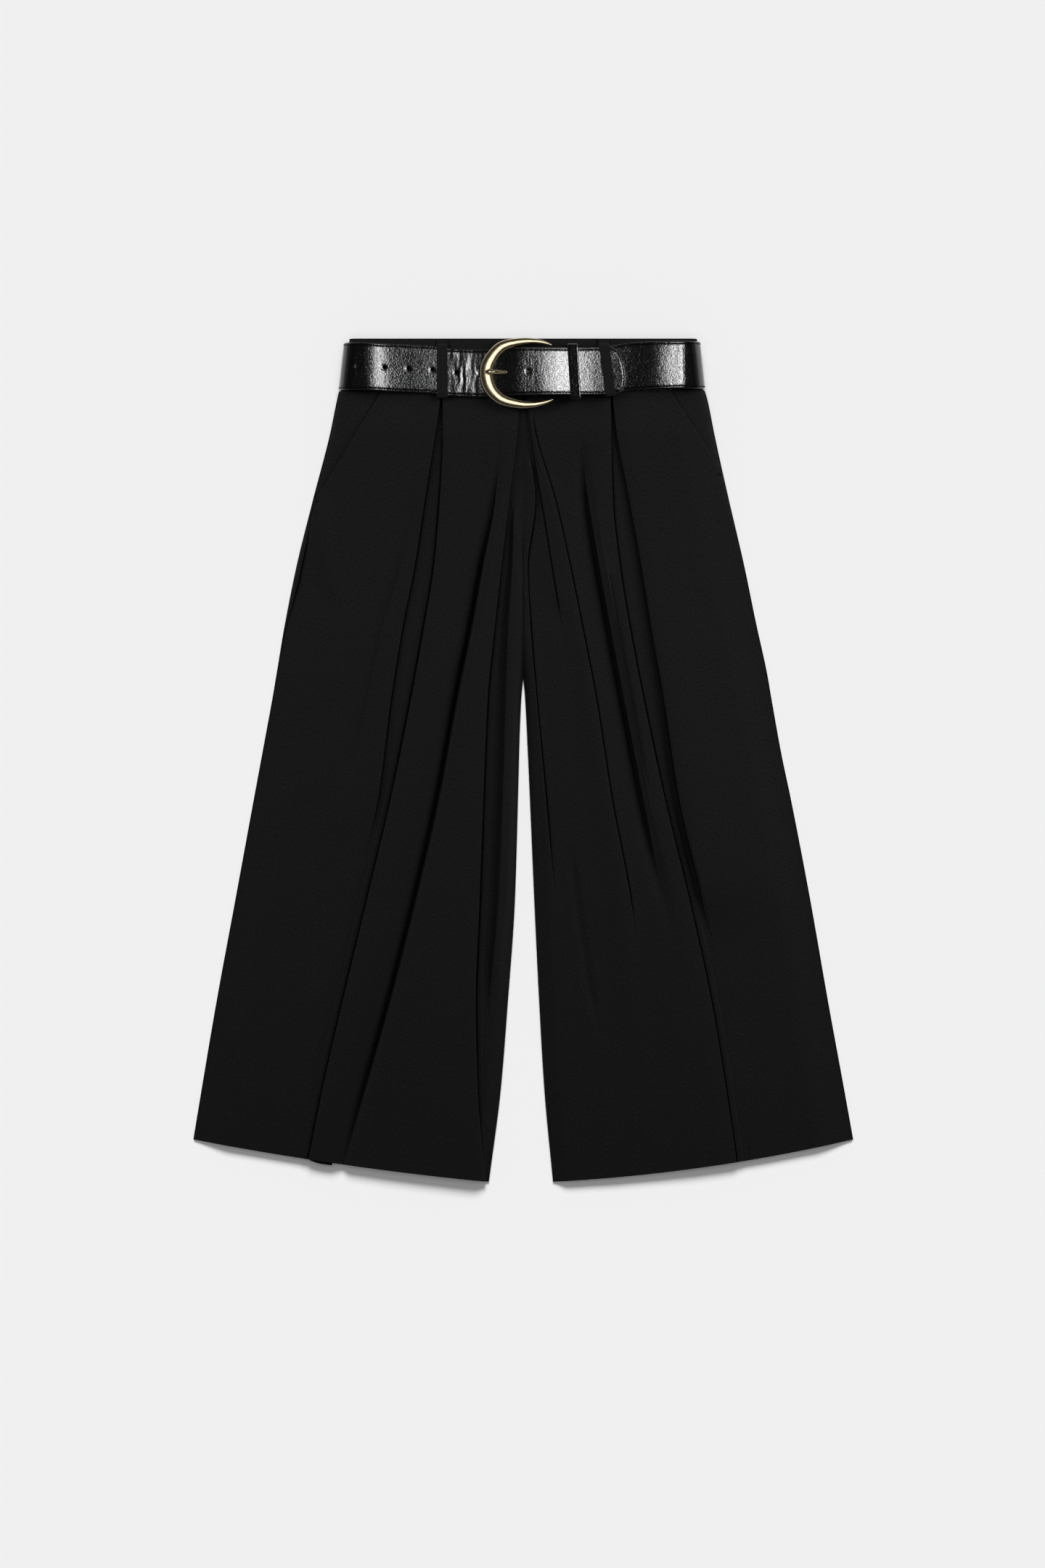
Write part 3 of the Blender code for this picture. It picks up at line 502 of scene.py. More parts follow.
foldRound = {
    "turnSteps": 7, "lapSteps": 4, "leastBack": 0.5, "turnFirst": 1.6, "lapStart": 0.55,
    "lapExtra": 1.2, "apart": 0.1, "anchorTurn": 150, "from": 55, "leastThick": 0.1,
    "hangPower": 30, "hiddenHang": 0.6,
    # the lower layer beside a fold's edge, as (distance, share of the lip's height)
    "lip": ((-1.0, 0.0), (0.0, 0.05), (0.8, 0.4), (1.4, 0.82), (2.0, 1.0), (2.8, 1.0),
            (4.2, 0.95), (6.0, 0.88), (8.0, 0.8)),
    "lipShare": 0.46, "lipApart": 0.04,
}


def foldProfile(turn, lap, thick):
    # down over a fold whose left side lies on top, as (x, level)
    steps, lapSteps = foldRound["turnSteps"], foldRound["lapSteps"]
    arc = thick * pi / 2 / steps
    back = (foldRound["leastBack"] + lap) / lapSteps
    headings = [turn * (k + 0.5) / steps for k in range(steps)]
    route = [(h, arc) for h in headings] + [(turn, back)] * lapSteps
    route += [(h, arc) for h in reversed(headings)]
    x = z = 0.0
    points = [(x, z)]
    for turned, length in route:
        x += length * cos(radians(turned))
        z -= length * sin(radians(turned))
        points.append((x, z))
    edge = max(p[0] for p in points[:steps + 1]) + 0.5 * lie["cloth"]
    anchor = mix(points[-1][0] / 2, edge, ease(turn / foldRound["anchorTurn"]))
    return [(px - anchor, pz - z) for px, pz in points], -z


def foldPoints(leg, name, share):
    # a fold across one section, as (across, level, how far it hangs below the hem)
    life = leg["lives"][name]
    edge = crossing(leg, share, leg["folds"][name], 0.0)
    down = sectionDown(leg, share, edge)
    opening = (down - life["opens"]) / (life["full"] - life["opens"])
    closing = (life["closed"] - down) / (life["closed"] - life["closing"])
    alive = clamp(min(opening, closing))
    turned = ease(foldRound["turnFirst"] * alive)
    lapStart = foldRound["lapStart"]
    lap = mix(life["lapTop"], life["lapHem"], share) * ease((alive - lapStart) / (1 - lapStart))
    thick = life["thick"](min(max(down, foldRound["from"]), lie["hemCentre"]))
    thick *= mix(foldRound["leastThick"], 1.0, turned)
    profile, drop = foldProfile(life["turn"] * turned, lap, thick)
    start = profile[0][0] - lap - foldRound["lapExtra"] * turned - foldRound["apart"]
    points = [(start, drop, 0.0)]
    steps = foldRound["turnSteps"]
    for k, (x, z) in enumerate(profile):
        over = k < 2 * steps + foldRound["lapSteps"]
        points.append((x, z, ease((k - steps + 1) / 3) if over else foldRound["hiddenHang"]))
    if life["onTop"] == "right":
        points = [(-x, z, h) for x, z, h in reversed(points)]
    hangs = leg["hangs"]["drop"] if leg["hangs"]["fold"] == name else 0.0
    hang = hangs * share ** foldRound["hangPower"]
    return {"points": [(edge + x, z, h * hang) for x, z, h in points], "edge": edge,
            "lower": "right" if life["onTop"] == "left" else "left",
            "lip": life["lip"] * drop * turned, "turned": turned}


def lipPoints(group, towards, room):
    steps = foldRound["lip"]
    squeeze = min(1.0, foldRound["lipShare"] * max(room, 0.02) / steps[-1][0])
    made = [(group["edge"] + towards * distance * (squeeze if distance > 0 else 1.0),
             group["lift"] + group["lip"] * share * squeeze) for distance, share in steps]
    reached = group["points"][-1 if towards > 0 else 0][0] * towards
    for k, (x, level) in enumerate(made):
        reached = max(x * towards, reached + foldRound["lipApart"])
        made[k] = (reached * towards, level, 0.0)
    return made if towards > 0 else made[::-1]


def between(left, right, count, sag):
    before = after = ()
    start, end = left["points"][-1], right["points"][0]
    fromEdge, toEdge = left.get("lower") == "right", right.get("lower") == "left"
    room = (right["edge"] if toEdge else end[0]) - (left["edge"] if fromEdge else start[0])
    if fromEdge:
        before = lipPoints(left, 1, room if toEdge else 2 * room)
        start = before[-1]
    if toEdge:
        after = lipPoints(right, -1, room if fromEdge else 2 * room)
        end = after[0]
    steps = [k / (count + 1) for k in range(1, count + 1)]
    inner = [(mix(start[0], end[0], t),
              mix(start[1], end[1], (t + ease(t)) / 2) - sag * 4 * t * (1 - t), 0.0)
             for t in steps]
    return [*before, *inner, *after]


def lifted(groups):
    # a fold that is closed lies at the height that its open neighbours give it
    lifts = [0.0] * len(groups)
    for _ in range(25):
        for i in range(1, len(groups) - 1):
            x0, low = groups[i - 1]["points"][-1][:2]
            x1, high = groups[i + 1]["points"][0][:2]
            t = clamp((groups[i]["edge"] - x0) / max(x1 - x0, 0.1))
            lifts[i] = (1 - groups[i]["turned"]) * mix(low + lifts[i - 1], high + lifts[i + 1], t)
    for group, lift in zip(groups, lifts):
        group["lift"] = lift
        group["points"] = [(x, level + lift, hang) for x, level, hang in group["points"]]
    return groups


# the rolled side edge, by shares of its radius, and how it drops at the pocket
roundSteps = (0.0, 0.03, 0.08, 0.16, 0.27, 0.42, 0.65, 1.0)
pocketRim = {"drop": 0.45, "over": 1.3, "fades": 8}
# the centre seam dips between the legs down to the crotch, and the folds beside it carry it
centre = {
    "flat": 0.9, "dip": 0.9, "leastDip": 0.15, "from": 272.0, "over": 14, "endFrom": 335.0,
    "endOver": 16,
    "rise": curveThrough([(52, 0), (140, 0), (190, 1.8), (245, 1.3), (300, 1.6), (345, 0.3),
                          (360, 0), (871, 0)]),
}


def frontEnds(leg, share):
    sign = leg["sign"]
    outer = crossing(leg, share, lambda d: frontEdge(leg, d), sign * lie["sideGuess"])
    inner = crossing(leg, share, lambda d: centreSeam(leg, d), 0.0)
    onPocket = ease((leg["pocket"]["end"][1] - sectionDown(leg, share, outer)) / pocketRim["fades"])
    rim = []
    for step in roundSteps:
        x = outer - sign * lie["sideRound"] * step
        dropped = pocketRim["drop"] * onPocket * (1 - ease(abs(x - outer) / pocketRim["over"]))
        rim.append((x, -dropped, 0.0))
    down = sectionDown(leg, share, inner)
    dip = mix(centre["leastDip"], centre["dip"], ease((down - centre["from"]) / centre["over"]))
    dip *= 1 - ease((down - centre["endFrom"]) / centre["endOver"])
    rise = centre["rise"](down)
    seam = [(inner + sign * centre["flat"], rise, 0.0), (inner, rise - dip, 0.0)]
    groups = [foldPoints(leg, name, share) for name in leg["lives"]]
    if sign < 0:
        return lifted([{"points": rim}] + groups + [{"points": seam}])
    return lifted([{"points": seam[::-1]}] + groups + [{"points": rim[::-1]}])


# the lying cloth stands a little off the layer below, and flutters
puff = {
    "high": 4.6, "side": 40.0, "nearSide": 9.0, "inner": 16.0, "crotchFrom": 305.0,
    "crotchOver": 60, "from": 56, "over": 45, "flutter": 0.22, "mean": 0.6, "waves": (38, 95),
    "ridgeEnds": 0.3, "sag": 0.2,
}


def ridgeCurve(leg, ridge):
    # across by down, and the downs of its two ends
    if "path" in ridge:
        turned = [(down, across) for across, down in ridge["path"]]
        return curveThrough(turned), turned[0][0], turned[-1][0], ridge
    edge = leg["folds"][ridge["fold"]]
    return lambda down: edge(down) + ridge["shift"], ridge["from"], ridge["to"], ridge


for leg in (rightLeg, leftLeg):
    leg["ridges"] = [ridgeCurve(leg, ridge) for ridge in leg["ridges"]]


def reliefAt(leg, across, down):
    total = 0.0
    for curve, first, last, ridge in leg["ridges"]:
        span = puff["ridgeEnds"] * (last - first)
        fade = ease((down - first + span * 0.6) / span) * ease((last + span * 0.6 - down) / span)
        if not fade:
            continue
        distance = across - curve(down)
        wide = ridge["left"] if distance < 0 else ridge["right"]
        total += ridge["high"] * fade * exp(-(distance / wide) ** 2)
    wide, long = puff["waves"]
    flutter = noise.noise(Vector((across / wide, down / long, 3.1 * leg["sign"])))
    total += puff["flutter"] * (flutter + puff["mean"])
    fromSide = abs(leg["outline"]["side"](down) - across)
    fromInner = ease(abs(leg["outline"]["inner"](down) - across) / puff["inner"])
    below = ease((down - puff["crotchFrom"]) / puff["crotchOver"])
    total *= fromInner * ease(fromSide / puff["nearSide"])
    total += puff["high"] * mix(1.0, fromInner, below) * ease(fromSide / puff["side"])
    return max(0.0, total * ease((down - puff["from"]) / puff["over"]))


def measured(row):
    # the way along a row, from its start to each of its points
    travelled = [0.0]
    for a, b in zip(row, row[1:]):
        travelled.append(travelled[-1] + (b - a).length)
    return travelled


def frontRows(leg, shares, step=3.2):
    ends = [frontEnds(leg, share) for share in shares]
    counts = []
    for g in range(len(ends[0]) - 1):
        widest = max(abs(row[g + 1]["points"][0][0] - row[g]["points"][-1][0]) for row in ends)
        counts.append(max(3, ceil(widest / step)))
    rimAt = 0 if leg["sign"] < 0 else len(counts) - 1
    rows, weave = [], []
    for share, groups in zip(shares, ends):
        section = list(groups[0]["points"])
        for g, count in enumerate(counts):
            section += between(groups[g], groups[g + 1], count, puff["sag"] if g == rimAt else 0.0)
            section += groups[g + 1]["points"]
        row = []
        for across, level, hang in section:
            down = sectionDown(leg, share, across)
            z = frontBase(leg, across, down) + level + reliefAt(leg, across, down)
            row.append(at(across, down + hang, z))
        rows.append(row)
        travelled = measured(row)
        middle = travelled[len(travelled) // 2]
        middleDown = mix(lie["seamSide"], lie["hemSide"], share) * mm
        weave.append([(t - middle, middleDown) for t in travelled])
    return rows, weave


# how far down the legs their sections lie, closer together at the waist
firstShares = [0.0, 0.0015, 0.003, 0.0045, 0.008]
nextShare = 0.012


def pocketShare(leg):
    return (leg["pocket"]["end"][1] - lie["seamSide"]) / (lie["hemSide"] - lie["seamSide"])


def legShares(leg, step=0.0062, rowsBelow=112):
    end = pocketShare(leg)
    upper = firstShares + spaced(nextShare, end, step)
    return upper + [mix(end, 1.0, k / rowsBelow) for k in range(1, rowsBelow + 1)]


def plainRows(leg, shares, xsOf, zOf):
    rows, weave = [], []
    for share in shares:
        row = []
        for across in xsOf(share):
            down = sectionDown(leg, share, across)
            row.append(at(across, down, zOf(across, down)))
        rows.append(row)
        weave.append([(p.x, -p.y) for p in row])
    return rows, weave


hipPiece = {"under": 13.0, "inset": 0.3, "end": 0.97, "step": 0.005, "guess": 150.0,
            "columns": (0.17, 0.34, 0.51, 0.68, 0.84, 1.0)}


def hipRows(leg):
    sign = leg["sign"]
    end = mix(nextShare, pocketShare(leg), hipPiece["end"])
    shares = firstShares + spaced(nextShare, end, hipPiece["step"])

    def xs(share):
        seam = crossing(leg, share, lambda d: sideSeam(leg, d), sign * lie["sideGuess"])
        inside = crossing(leg, share, lambda d: pocketEdge(leg, d) - sign * hipPiece["under"],
                          sign * hipPiece["guess"])
        outer = [seam - sign * (hipPiece["inset"] + lie["sideRound"] * step)
                 for step in roundSteps[:-1]]
        return outer + [mix(outer[-1], inside, t) for t in hipPiece["columns"]]
    return plainRows(leg, shares, xs,
                     lambda across, down: frontBase(leg, across, down)
                     + reliefAt(leg, across, down) - lie["hipBelow"])


# the back panel's edge rolls over where it shows beside the front
backPiece = {"step": 0.0125, "columns": 20, "quarters": (0.15, 0.3, 0.5, 0.7, 0.85, 1.0),
             "rise": 0.75, "inset": 0.2, "least": 0.04}


def backRows(leg):
    sign, cut = leg["sign"], backPiece
    shares = firstShares + [nextShare, 0.02] + spaced(0.03, 1.0, cut["step"])

    def xs(share):
        side = crossing(leg, share, leg["outline"]["side"], sign * lie["sideGuess"])
        inner = crossing(leg, share, lambda d: centreSeam(leg, d), 0.0)
        outer = [side - sign * lie["sideRound"] * step for step in roundSteps]
        return outer + [mix(outer[-1], inner, k / cut["columns"])
                        for k in range(1, cut["columns"] + 1)]
    rows, weave = plainRows(leg, shares, xs, lambda across, down: backBase(leg, across, down))
    for row, mapped in zip(rows, weave):
        side = row[0].copy()
        shows = sideShows(leg, lie["topY"] - side.y / mm) - lie["cloth"] / 2 - cut["inset"]
        reach = max(cut["least"], shows)
        for quarter in cut["quarters"]:
            angle = quarter * pi / 2
            point = side + Vector((-sign * reach * (1 - cos(angle)), 0,
                                   cut["rise"] * reach * sin(angle))) * mm
            row.insert(0, point)
            mapped.insert(0, (2 * side.x - point.x, -side.y))
    return rows, weave


for leg, side in ((rightLeg, "Right"), (leftLeg, "Left")):
    for part, (rows, weave) in (("front", frontRows(leg, legShares(leg))),
                                ("back", backRows(leg)), ("hip", hipRows(leg))):
        clothPiece(part + side, rows, weave, lie["cloth"], part + "_" + side.lower())
    print("leg", side)


# waistband
def waistX(across, down, mid=lie["waistMid"]):
    return across * (1 + lie["waistTaper"] * (down - mid) / strapHalf)


waistband = {"turns": 10, "flats": 30, "apart": 1.25, "rim": 0.7, "high": 0.05,
             "rows": (0.0, 0.05, 0.15, 0.3, 0.45, 0.6, 0.8, 0.95, 1.0)}


def waistbandRows(upper):
    side = 1 if upper else -1
    radius = bandZ - midZ
    flat = lie["waistHalf"] - lie["strap"] - gap - lie["bandWall"] / 2 - radius
    first = asin(waistband["apart"] * gap / radius)
    turns, flats = waistband["turns"], waistband["flats"]
    turn = [mix(first, pi / 2, k / turns) for k in range(turns)]
    profile = [(-flat - radius * cos(a), midZ + side * radius * sin(a)) for a in turn]
    ends = [(-x, z) for x, z in reversed(profile)]
    profile += [(flat * k / flats, midZ + side * radius) for k in range(-flats, flats + 1)] + ends
    rows, weave = [], []
    for t in waistband["rows"]:
        row = []
        for across, z in profile:
            u = min(1.0, abs(across) / lie["waistHalf"])
            down = t * (mix(lie["seamCentre"], lie["seamSide"] - lie["bandRaised"], u) - gap)
            row.append(at(waistX(across, down), down, z))
        rows.append(row)
        weave.append([(s, t * waistband["high"]) for s in measured(row)])
    return rows, weave


for side, upper in (("Front", True), ("Back", False)):
    rows, weave = waistbandRows(upper)
    clothPiece("waistband" + side, rows, weave, lie["bandWall"], "waistband_" + side.lower(),
               rim=waistband["rim"])
print("waistband")


# how the belt runs: the middles of its free and fixed ends as downs along x, then its sizes
belt = {
    "freeMid": curveThrough([(-184.5, 29.5), (-169.0, 28.5), (-135.8, 30.2), (-91.0, 32.5),
                             (-77.0, 34.9), (-45.0, 35.9), (-15.0, 34.4), (75.0, 33.9),
                             (105.0, 31.8)]),
    "fixedMid": curveThrough([(12.75, 34.0), (60.0, 34.0), (76.0, 33.0), (97.0, 31.0),
                              (115.5, 28.5), (166.0, 27.0), (184.5, 28.5)]),
    "barX": 12.75, "barRadius": 1.6, "foldBackEnd": 41.0, "rampStart": -29.0, "rampEnd": 10.0,
    "tipX": 105.2, "tipLength": 12.0, "tipLean": 0.12, "leansFrom": 78, "leansOver": 18,
    "buckleDown": 34.0, "prongDown": 34.9, "edgeRound": 1.0, "stitchInset": 2.5,
    "grooveDeep": 0.14, "grooveWide": 0.45, "crown": 0.10, "crownWide": 1.2, "crownTop": 1.6,
    "leftReach": 2.6, "reachFrom": 120, "reachOver": 55, "sewing": (3.1, 2.2, 1.1),
    "sewnIn": 0.3, "sewnInBelow": 0.65, "sewnInTip": 0.2, "overEnd": (2, 30), "overBar": (1, 20),
    # how closely the strap is sectioned: at the fold, on the fixed end, behind, on the free end
    "stepsAlong": (4, 2.5, 6, 1.2), "barArc": 16, "sideArc": 22, "freeFrom": 14,
}
# the holes, the one that the prong has worn, by radius, depth and segments, and the prong's slot
holes = {
    "first": -143.3, "pitch": 24.7, "count": 7, "prong": 5, "plain": (2.0, 5.0, 24),
    "plainUp": 0.2, "worn": (2.4, 7.0, 20), "wornShift": 0.6, "dimple": 0.3, "dimpleWide": 1.3,
    "dimpleFrom": 1.6, "slotSize": (10.5, 4.6, 12.85), "slotDown": 34.4, "slotZ": 24.4,
}
tipStart = belt["tipX"] - belt["tipLength"]
barZ = strapZ + strapOut + gap + belt["barRadius"]
fixedBarZ = barZ + belt["barRadius"] + gap + strapOut
freeTop = fixedBarZ + strapLayer
freeDescent = curveThrough([(10, freeTop), (14, freeTop), (18, freeTop - 0.2),
                            (24, freeTop - 0.8), (52, freeTop - 3.45), (75, freeTop - 5.7),
                            (86, strapZ + strapLayer), (120, strapZ + strapLayer)])


def fixedZ(across):
    # over the folded-back end, and higher over the bar
    (afterEnd, endLong), (afterBar, barLong) = belt["overEnd"], belt["overBar"]
    overEnd = 1 - ease((across - belt["foldBackEnd"] - afterEnd) / endLong)
    overBar = 1 - ease((across - belt["barX"] - afterBar) / barLong)
    return strapZ + strapLayer * overEnd + (fixedBarZ - strapZ - strapLayer) * overBar


def freeZ(across):
    if across < belt["rampEnd"]:
        climb = ease((across - belt["rampStart"]) / (belt["rampEnd"] - belt["rampStart"]))
        return mix(strapZ, fixedBarZ + strapLayer, climb)
    return freeDescent(across)


leatherLook = {
    "colour": (0.0040, 0.0038, 0.0037), "coat": 0.3, "gloss": 0.75, "roughness": (0.12, 0.20),
    # wrinkles and finer crinkles: how dense, how deep, and the noise's detail and distortion
    "creases": (((240, 150, 240), 0.00011, 1.0), ((720, 620, 720), 0.00010, 1.2)),
    "glossSpread": (0.35, 0.7),
    "mostLean": 15.0, "step": 3.0, "perCurve": 20,
}
# the strap's slow waves: where along it, and how many degrees its face leans to the right
strapLeans = (
    (-190, -6.5), (-176, -6.5), (-165.8, -6.5), (-163.1, -4.5), (-159.8, -1.7), (-156, 0.8),
    (-150.8, 4), (-144.8, 3), (-138.8, 0.3), (-132, -0.5), (-120.8, -0.7), (-90.8, -1.1),
    (-75.8, -0.9), (-60.8, -0.8), (-49.5, -1.7), (-23.2, -6.5), (-12, -6.5), (-4.5, -4.5),
    (3, -2.5), (14.2, -1.2), (21.8, 0.3), (30.8, 1.5), (40.5, 4.5), (59.2, 1.5), (68.2, 0.8),
    (78, -1.2), (93, -3.5), (104.2, -5.5), (119.2, -7.5), (132, -6.6), (139.5, -4.0),
    (148, -1.4), (155.5, 0.4), (161.5, 0.6), (165.5, 9), (170, 15), (190, 15))
keeperLeans = ((-190, -6.5), (190, -6.5))


def strapFaceLean(x):
    # how far the strap's face leans to the right by its shape alone
    if abs(x) > 150:
        return 0.0
    height = freeZ if x < belt["tipX"] else fixedZ
    return -degrees(atan((height(x + 1) - height(x - 1)) / 2))


def slowWaves(tree, place, look, leans, faceLean):
    # the leans added up to heights along x, on a few float curves one after another
    wanted, most = curveThrough(leans), look["mostLean"]
    steps = [(x, max(-most, min(most, wanted(x) - faceLean(x))))
             for x in spaced(leans[0][0], leans[-1][0], look["step"])]
    spots = [(steps[0][0] * mm, 0.0)]
    for (x0, lean0), (x1, lean1) in zip(steps, steps[1:]):
        high = spots[-1][1] - tan(radians((lean0 + lean1) / 2)) * (x1 - x0)
        spots.append((x1 * mm, high))
    across = addNode(tree, "SeparateXYZ", "X", place)
    total = 0.0
    for first in range(0, len(spots) - 1, look["perCurve"]):
        last = min(first + look["perCurve"], len(spots) - 1)
        near = spots[max(first - 1, 0):last + 2]
        start, end = near[0][0], near[-1][0]
        low = min(high for _, high in near)
        rise = max(max(high for _, high in near) - low, 0.001)
        within = addNode(tree, "Clamp", "Result", across, spots[first][0], spots[last][0])
        along = addNode(tree, "MapRange", "Result", within, start, end)
        curve = addNode(tree, "FloatCurve", "Value", Value=along)
        drawn = [((x - start) / (end - start), (high - low) / rise) for x, high in near]
        points = curve.node.mapping.curves[0].points
        points[0].location, points[-1].location = drawn[0], drawn[-1]
        for spot in drawn[1:-1]:
            points.new(*spot)
        curve.node.mapping.update()
        total = addNode(tree, "Math", "Value", curve, rise * mm, total, operation="MULTIPLY_ADD")
    return total


def leatherFinish(name, look, leans, faceLean):
    made, shader = newMaterial(name, look["colour"], 0.25, Coat_Weight=look["coat"],
                               Coat_Roughness=0.1, Specular_IOR_Level=look["gloss"])
    tree = made.node_tree
    place = addNode(tree, "TexCoord", "Object")
    normal = addNode(tree, "Bump", "Normal", Strength=1.0, Distance=1.0,
                     Height=slowWaves(tree, place, look, leans, faceLean))
    for density, deep, detail in look["creases"]:
        squeezed = addNode(tree, "Mapping", "Vector", place, Scale=density)
        folds = addNode(tree, "TexNoise", "Fac", squeezed, Scale=1.0, Detail=detail,
                        Roughness=0.5, Distortion=detail)
        normal = addNode(tree, "Bump", "Normal", Strength=1.0, Distance=deep,
                         Height=folds, Normal=normal)
    roughness = addNode(tree, "MapRange", "Result", folds, *look["glossSpread"], *look["roughness"])
    fill(shader, Roughness=roughness, Normal=normal, Coat_Normal=normal)
    return made


blackLeather = leatherFinish("blackLeather", leatherLook, strapLeans, strapFaceLean)
keeperLeather = leatherFinish("keeperLeather", leatherLook, keeperLeans, lambda x: 0.0)


def strapRoute():
    # (x, z, middle, half width) from the folded-back end, round the waist, to the tip
    radius = midZ - strapOut
    straight = lie["waistHalf"] - lie["loopHeight"] / 2
    foldStep, fixedStep, backStep, freeStep = belt["stepsAlong"]
    route = []

    def arc(x, z, size, start, mid, steps):
        for k in range(1, steps):
            angle = radians(start - 180 * k / steps)
            route.append((x + size * cos(angle), z + size * sin(angle), mid, strapHalf))

    barX, mid = belt["barX"], belt["buckleDown"]
    route += [(x, strapZ, mid, strapHalf) for x in spaced(belt["foldBackEnd"], barX + 1, foldStep)]
    arc(barX, barZ, fixedBarZ - barZ, -90, mid, belt["barArc"])
    route += [(x, fixedZ(x), belt["fixedMid"](x), strapHalf)
              for x in spaced(barX, straight, fixedStep)]
    rightMid, leftMid = belt["fixedMid"](straight), belt["freeMid"](-straight)
    arc(straight, midZ, radius, 90, rightMid, belt["sideArc"])
    for x in spaced(straight, -straight, backStep):
        t = (straight - x) / (2 * straight)
        route.append((x, strapOut, mix(rightMid, leftMid, t), strapHalf))
    arc(-straight, midZ, radius, -90, leftMid, belt["sideArc"])
    route += [(x, freeZ(x), belt["freeMid"](x), strapHalf)
              for x in spaced(-straight, tipStart, freeStep)]
    for angle in map(radians, range(4, 89, 4)):
        x = tipStart + belt["tipLength"] * sin(angle)
        route.append((x, freeZ(x), belt["freeMid"](x), strapHalf * cos(angle)))
    return route


# columns across the strap, by their distance from its edge: a crowned rim, the stitched groove,
# the flat with its holes
rimColumns = (0.08, 0.3, 0.65, 1.0, 1.35, 1.7, 2.0, 2.25, 2.5, 2.75, 3.0, 3.4, 4.2, 5.6)
flatColumns = (7.5, 10, 13, 16, 18.5, 20.3, 21.4, 22.3, 23.2, 24.1)
strapAcross = [column - strapHalf for column in rimColumns + flatColumns]
strapAcross += [-v for v in reversed(strapAcross)]


def leanAt(x, offset, onFree):
    share = ease((x - belt["leansFrom"]) / belt["leansOver"])
    return belt["tipLean"] * offset * share if onFree else 0.0


def fromRim(x, v, onFree):
    if not onFree or x <= tipStart:
        return strapHalf - abs(v)
    q = hypot((x - tipStart) / belt["tipLength"], v / strapHalf)
    return hypot(x - tipStart, v) * (1 / max(q, 0.01) - 1)


def edgeDrop(distance):
    rounding = clamp(1 - distance / belt["edgeRound"])
    return belt["edgeRound"] * (1 - sqrt(max(0.0, 1 - rounding ** 2)))


def rimProfile(distance):
    # how far the strap's face lies below its middle
    fromStitches = distance - belt["stitchInset"]
    low = edgeDrop(distance)
    if fromStitches < 0:
        reach = belt["stitchInset"] - belt["crownTop"]
        low += belt["crown"] * ((distance - belt["crownTop"]) / reach) ** 2
    else:
        low += belt["crown"] * exp(-(fromStitches / belt["crownWide"]) ** 2)
    return low + belt["grooveDeep"] * exp(-(fromStitches / belt["grooveWide"]) ** 2)


# the strap's own unevenness: how high, how long and how wide each kind is, and its place in the
# noise; creased has the place across, the reach and the share of each bent stretch
strapFace = {
    "back": (0.16, 21, 40, 7.0), "front": (0.2, 24, 60, 1.7), "crease": (0.34, 3.6, 15, 5.3),
    "creased": ((-62, 17, 1.0), (120, 18, 0.4)), "bend": (0.7, 14, 11, 2), "sunk": 0.06,
}


def strapWave(x, v, onFree):
    # the leather's slow waves, and short creases where it has been bent by the buckle
    high, long, wide, seed = strapFace["front" if onFree else "back"]
    wave = noise.noise(Vector((x / long, v / wide, seed)))
    if not onFree:
        return high * (wave - 1)
    wave *= high
    creased = sum(share * exp(-((x - spot) / reach) ** 2)
                  for spot, reach, share in strapFace["creased"])
    high, long, wide, seed = strapFace["bend"]
    bend = high * noise.noise(Vector((v / wide, x / long, seed)))
    high, long, wide, seed = strapFace["crease"]
    wave += high * creased * noise.noise(Vector((x / long + bend, v / wide, seed)))
    pitch = holes["pitch"]
    toHole = (x - holes["first"] + pitch / 2) % pitch - pitch / 2
    if x < holes["first"] + pitch * (holes["count"] - 0.5):
        fromEdge = hypot(toHole, v) - holes["dimpleFrom"]
        wave -= holes["dimple"] * exp(-(fromEdge / holes["dimpleWide"]) ** 2)
    return wave - strapFace["sunk"]


def strapPoint(route, i, v, out, onFree):
    # a point at an offset v from the strap's middle, out from it to either face
    x, z, mid, _ = route[i]
    along, up = heading(route, i)
    reach = belt["leftReach"] * ease((-x - belt["reachFrom"]) / belt["reachOver"])
    px = x - up * out + leanAt(x, v, onFree) - reach
    return at(waistX(px, mid + v, mid), mid + v, z + along * out)


def strapRings(route):
    freeFrom = max(i for i, row in enumerate(route)
                   if row[0] <= -lie["waistHalf"] + belt["freeFrom"])
    rings = []
    for i, row in enumerate(route):
        onFree = i >= freeFrom
        across = [v * (2 * row[3] / lie["strapWidth"]) for v in strapAcross]
        outer, inner = [], []
        for v in across:
            distance = fromRim(row[0], v, onFree)
            high = strapOut - rimProfile(distance) + strapWave(row[0], v, onFree)
            outer.append(strapPoint(route, i, v, high, onFree))
            low = strapOut - edgeDrop(distance)
            inner.append(strapPoint(route, i, v, -low, onFree))
        rings.append(outer + inner[::-1])
    return rings


def punch(bm, hole, spot):
    radius, deep, segments = hole
    made = bmesh.ops.create_cone(bm, cap_ends=True, segments=segments, radius1=radius * mm,
                                 radius2=radius * mm, depth=deep * mm)
    bmesh.ops.translate(bm, verts=made["verts"], vec=spot)


